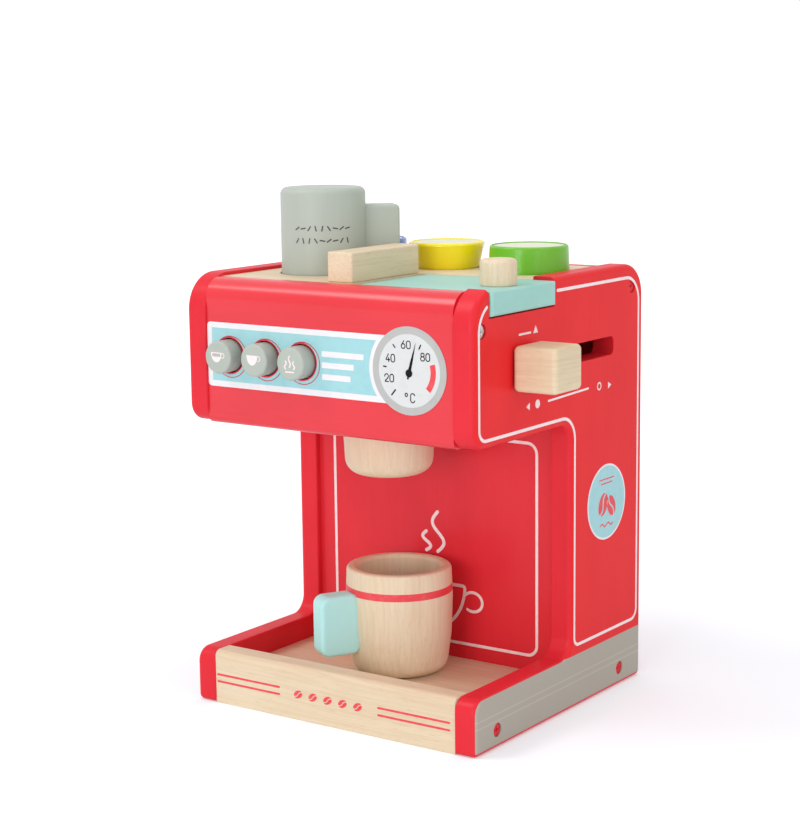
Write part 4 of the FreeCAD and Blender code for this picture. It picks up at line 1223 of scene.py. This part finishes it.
# %% Buttons
BUTTON_ROUND = 1.3

for name in BUTTON_NAMES:
    node_name = name + "_button"
    low, high = corners(node_name)
    radius, length = (high[0] - low[0]) / 2, high[1] - low[1]
    profile = rounded([(0, 0), (radius, 0), (radius, length), (0, length)], [0, BUTTON_ROUND, 0, 0])
    x, _, z = middle(node_name)
    centre = (x, low[1], z)
    lathe(name + "_cap", profile, centre, "grey", name + "_push", "grey_paint", node_name, "Y")

# %% [markdown]
# ## Sanded blocks
# The lever, the stop bar and both grips are blocks with sanded edges. A point on a plain box is
# pulled to the nearest point of a smaller box inside, and then pushed out by the edge's radius,
# which rounds all edges and corners at once. A Bevel modifier would do the same for one radius,
# but a grip has two: a large one at its corners and a small one along its edges.

# %% Sanded blocks


def block_points(half, radius, corner, steps=6):
    """Six grids on a box: the corners seen from the side get one radius, the edges another."""
    patches = []
    reach = np.array([corner, radius, corner])
    bend = 1 - np.tan(np.linspace(0, np.pi / 4, steps + 1))[::-1]
    for axis in range(3):
        others = [other for other in range(3) if other != axis]
        lines = []
        for side in others:
            ends = [half[side] - size + size * bend for size in {radius, reach[side]}]
            edge = np.unique(np.round(np.concatenate(ends), 4))
            inner = edge[0] * 0.98
            lines.append(np.concatenate([-edge[::-1], [-inner, 0, inner], edge]))
        first, second = np.meshgrid(*lines, indexing="ij")
        for sign in (-1, 1):
            point = np.empty(first.shape + (3,))
            point[..., axis] = sign * half[axis]
            point[..., others[0]], point[..., others[1]] = first, second
            core = np.clip(point, reach - half, half - reach)
            out = (point - core) * (1, 0, 1)
            far = np.linalg.norm(out, axis=-1, keepdims=True)
            core = core + out / np.maximum(far, 1e-9) * np.minimum(far, corner - radius)
            out = point - core
            patches.append(core + radius * out / np.linalg.norm(out, axis=-1, keepdims=True))
    return patches


def block(name, low, high, radii, finish, body, node_name, place=None):
    """A block with rounded edges between two corners, which a place may turn."""
    low, high = np.asarray(low, float), np.asarray(high, float)
    points, faces = joined(
        (patch.reshape(-1, 3) + (low + high) / 2, grid_faces(*patch.shape[:2], False))
        for patch in block_points((high - low) / 2, *radii)
    )
    points = place(points) if place else points
    piece = surface(name, points, faces, finish, body, SLOTS[node_name])
    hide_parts(node_name)


block("lever_block", *corners("lever_knob"), (2.8, 2.8), "wood_layers", "lever", "lever_knob")
block("stop_bar", *corners("hinge_bar"), (1.1, 1.1), "wood_deep", "machine", "hinge_bar")

# %% [markdown]
# ## The grips
# The mug and the shaker each have a flat grip that stands out from the wall. It is a block made
# along X and then turned about the middle of the piece that carries it.

# %% Grips
GRIP_HALF = 6.5
GRIPS = [  # owner, its node, angle, start, reach past the wall, taller, radii, finish
    # The mug's grip takes the lighter copy of the aqua, which is painted light.
    ("mug", "mug_cup", 241, 26.0, 20.5, 2.0, (2.4, 5.5), "aqua_grip"),
    ("shaker", "shaker_body", 45, 20.0, 18.5, 0.0, (1.6, 3.0), "grey"),
]


def turned_about(centre, degrees):
    """A function that turns points about an upright axis and sets them down at a centre."""
    cosine, sine = np.cos(np.radians(degrees)), np.sin(np.radians(degrees))
    matrix = np.array([[cosine, -sine, 0], [sine, cosine, 0], [0, 0, 1]])
    return lambda points: points @ matrix.T + np.asarray(centre)


for owner, cup_node, angle, start, past_wall, taller, radii, finish in GRIPS:
    grip_node = owner + "_handle"
    grip_low, grip_high = (corner[2] for corner in corners(grip_node))
    place = turned_about((*middle(cup_node)[:2], 0), angle)
    low = (start, -GRIP_HALF, grip_low)
    high = (size_of(cup_node)[0] + past_wall, GRIP_HALF, grip_high + taller)
    block(owner + "_grip", low, high, radii, finish, owner, grip_node, place)

# %% [markdown]
# ## Screw heads
# Each side has four cross-head screws, set just under the surface. A head is a disc of rings
# from the middle outward, slightly domed, and the points inside a cross are pushed in. Cutting
# the cross with a Boolean would leave long thin faces. The front screw on each side is bare
# steel, and the others are painted red.

# %% Screw heads
HEAD_RADIUS, HEAD_DOME, HEAD_SINK, HEAD_THICK = 3.5, 0.35, 0.55, 1.2
CROSS_DEPTH = 1.0
CROSS_HALF, CROSS_SLOPE = (0.42, 2.1), (0.15, 0.3)
SCREWS = {
    "bare_heads": ("steel", [(-80, 219)]),
    "painted_heads": ("red_upright", [(74.5, 227.6), (-67, 10), (63, 10)]),
}


def screw_head(side, y, z, rings=30, turns=72):
    """A head's points: a dome less a cross, where the cross is narrow one way or the other.

    The dome falls with the square of the distance from the middle."""
    reach = np.linspace(0, 1, rings)[:, None] * HEAD_RADIUS
    angle = np.linspace(0, 2 * np.pi, turns, endpoint=False)[None]
    first, second = reach * np.cos(angle), reach * np.sin(angle)
    narrow, long_way = (pick(abs(first), abs(second)) for pick in (np.minimum, np.maximum))
    inside = np.clip((CROSS_HALF[0] - narrow) / CROSS_SLOPE[0], 0, 1)
    inside = inside * np.clip((CROSS_HALF[1] - long_way) / CROSS_SLOPE[1], 0, 1)
    lift = HEAD_DOME * (1 - (reach / HEAD_RADIUS) ** 2) - CROSS_DEPTH * inside
    first = np.vstack([first, first[-1:], 0 * first[-1:]])
    second = np.vstack([second, second[-1:], 0 * second[-1:]])
    lift = np.vstack([lift, lift[-1:] - HEAD_THICK, lift[-1:] - HEAD_THICK])
    place = (side * (SIDE - HEAD_SINK - HEAD_DOME + lift), y + first, z + second)
    return np.stack(place, axis=-1).reshape(-1, 3), grid_faces(rings + 2, turns, True)


for name, (finish, places) in SCREWS.items():
    points, faces = joined(screw_head(side, y, z) for side in (1, -1) for y, z in places)
    surface(name, points, faces, finish, "machine", "screw_steel")

# %% [markdown]
# ## The mug's band
# A red band is painted round the mug below its lip. It could be part of the wood's material, but
# a thin turned ring gives it a crisp edge. Its profile follows the slope of the wall.

# %% Mug band
BAND_LOW, BAND_HIGH = 45.7, 49.8
BAND_PROUD, BAND_THICK = 0.06, 0.4
slope = -LIP_IN / (mug_height - MUG_BELLY)
at_low, at_high = (
    mug_radius + slope * (level - MUG_BELLY) + BAND_PROUD for level in (BAND_LOW, BAND_HIGH)
)
band = [
    (at_low - BAND_THICK, BAND_LOW), (at_low, BAND_LOW),
    (at_high, BAND_HIGH), (at_high - BAND_THICK, BAND_HIGH),
]
band = rounded(band, [0.04, 0.06, 0.06, 0.04], closed=True, steps=3)
lathe("mug_band", np.vstack([band, band[:1]]), foot("mug_cup"), "red_ink", "mug", "natural_wood")

# %% [markdown]
# ## The shaker's sprinkles
# The shaker has a pattern of sprinkles in two rows. The flat drawing is laid on a cylinder, where
# across becomes an angle: the distance divided by the radius.

# %% Shaker sprinkles
FACING = -54.0
SPRINKLE_ROWS = (263.6, 257.0)
SPRINKLE_START, SPRINKLE_STEP, SPRINKLE_COUNT = -14.5, 3.6, 9
SPRINKLE_HALF, SPRINKLE_WIDTH = 1.25, 0.75
shaker_x, shaker_y, _ = middle("shaker_body")
shaker_radius = size_of("shaker_body")[0]


def on_shaker(across, up, lift):
    """Lay a drawing round the shaker; zero across faces the front right."""
    angle = np.radians(FACING) + across / shaker_radius
    reach = shaker_radius + lift
    return np.column_stack([shaker_x + reach * np.cos(angle), shaker_y + reach * np.sin(angle), up])


sprinkles = []
for row, z in enumerate(SPRINKLE_ROWS):
    for i in range(SPRINKLE_COUNT):
        place = np.array([SPRINKLE_START + SPRINKLE_STEP * i, z])
        tilt = np.radians(35 + 67 * ((i * 5 + row * 3) % 7))
        step = np.array([np.cos(tilt), np.sin(tilt)]) * SPRINKLE_HALF
        sprinkles += ribbon([place - step, place, place + step], SPRINKLE_WIDTH)
film("shaker_sprinkles", sprinkles, on_shaker, "dark_ink", "shaker", "grey_paint")

# %% [markdown]
# ## Last update
# The view layer is brought up to date.

# %% Finish
bpy.context.view_layer.update()
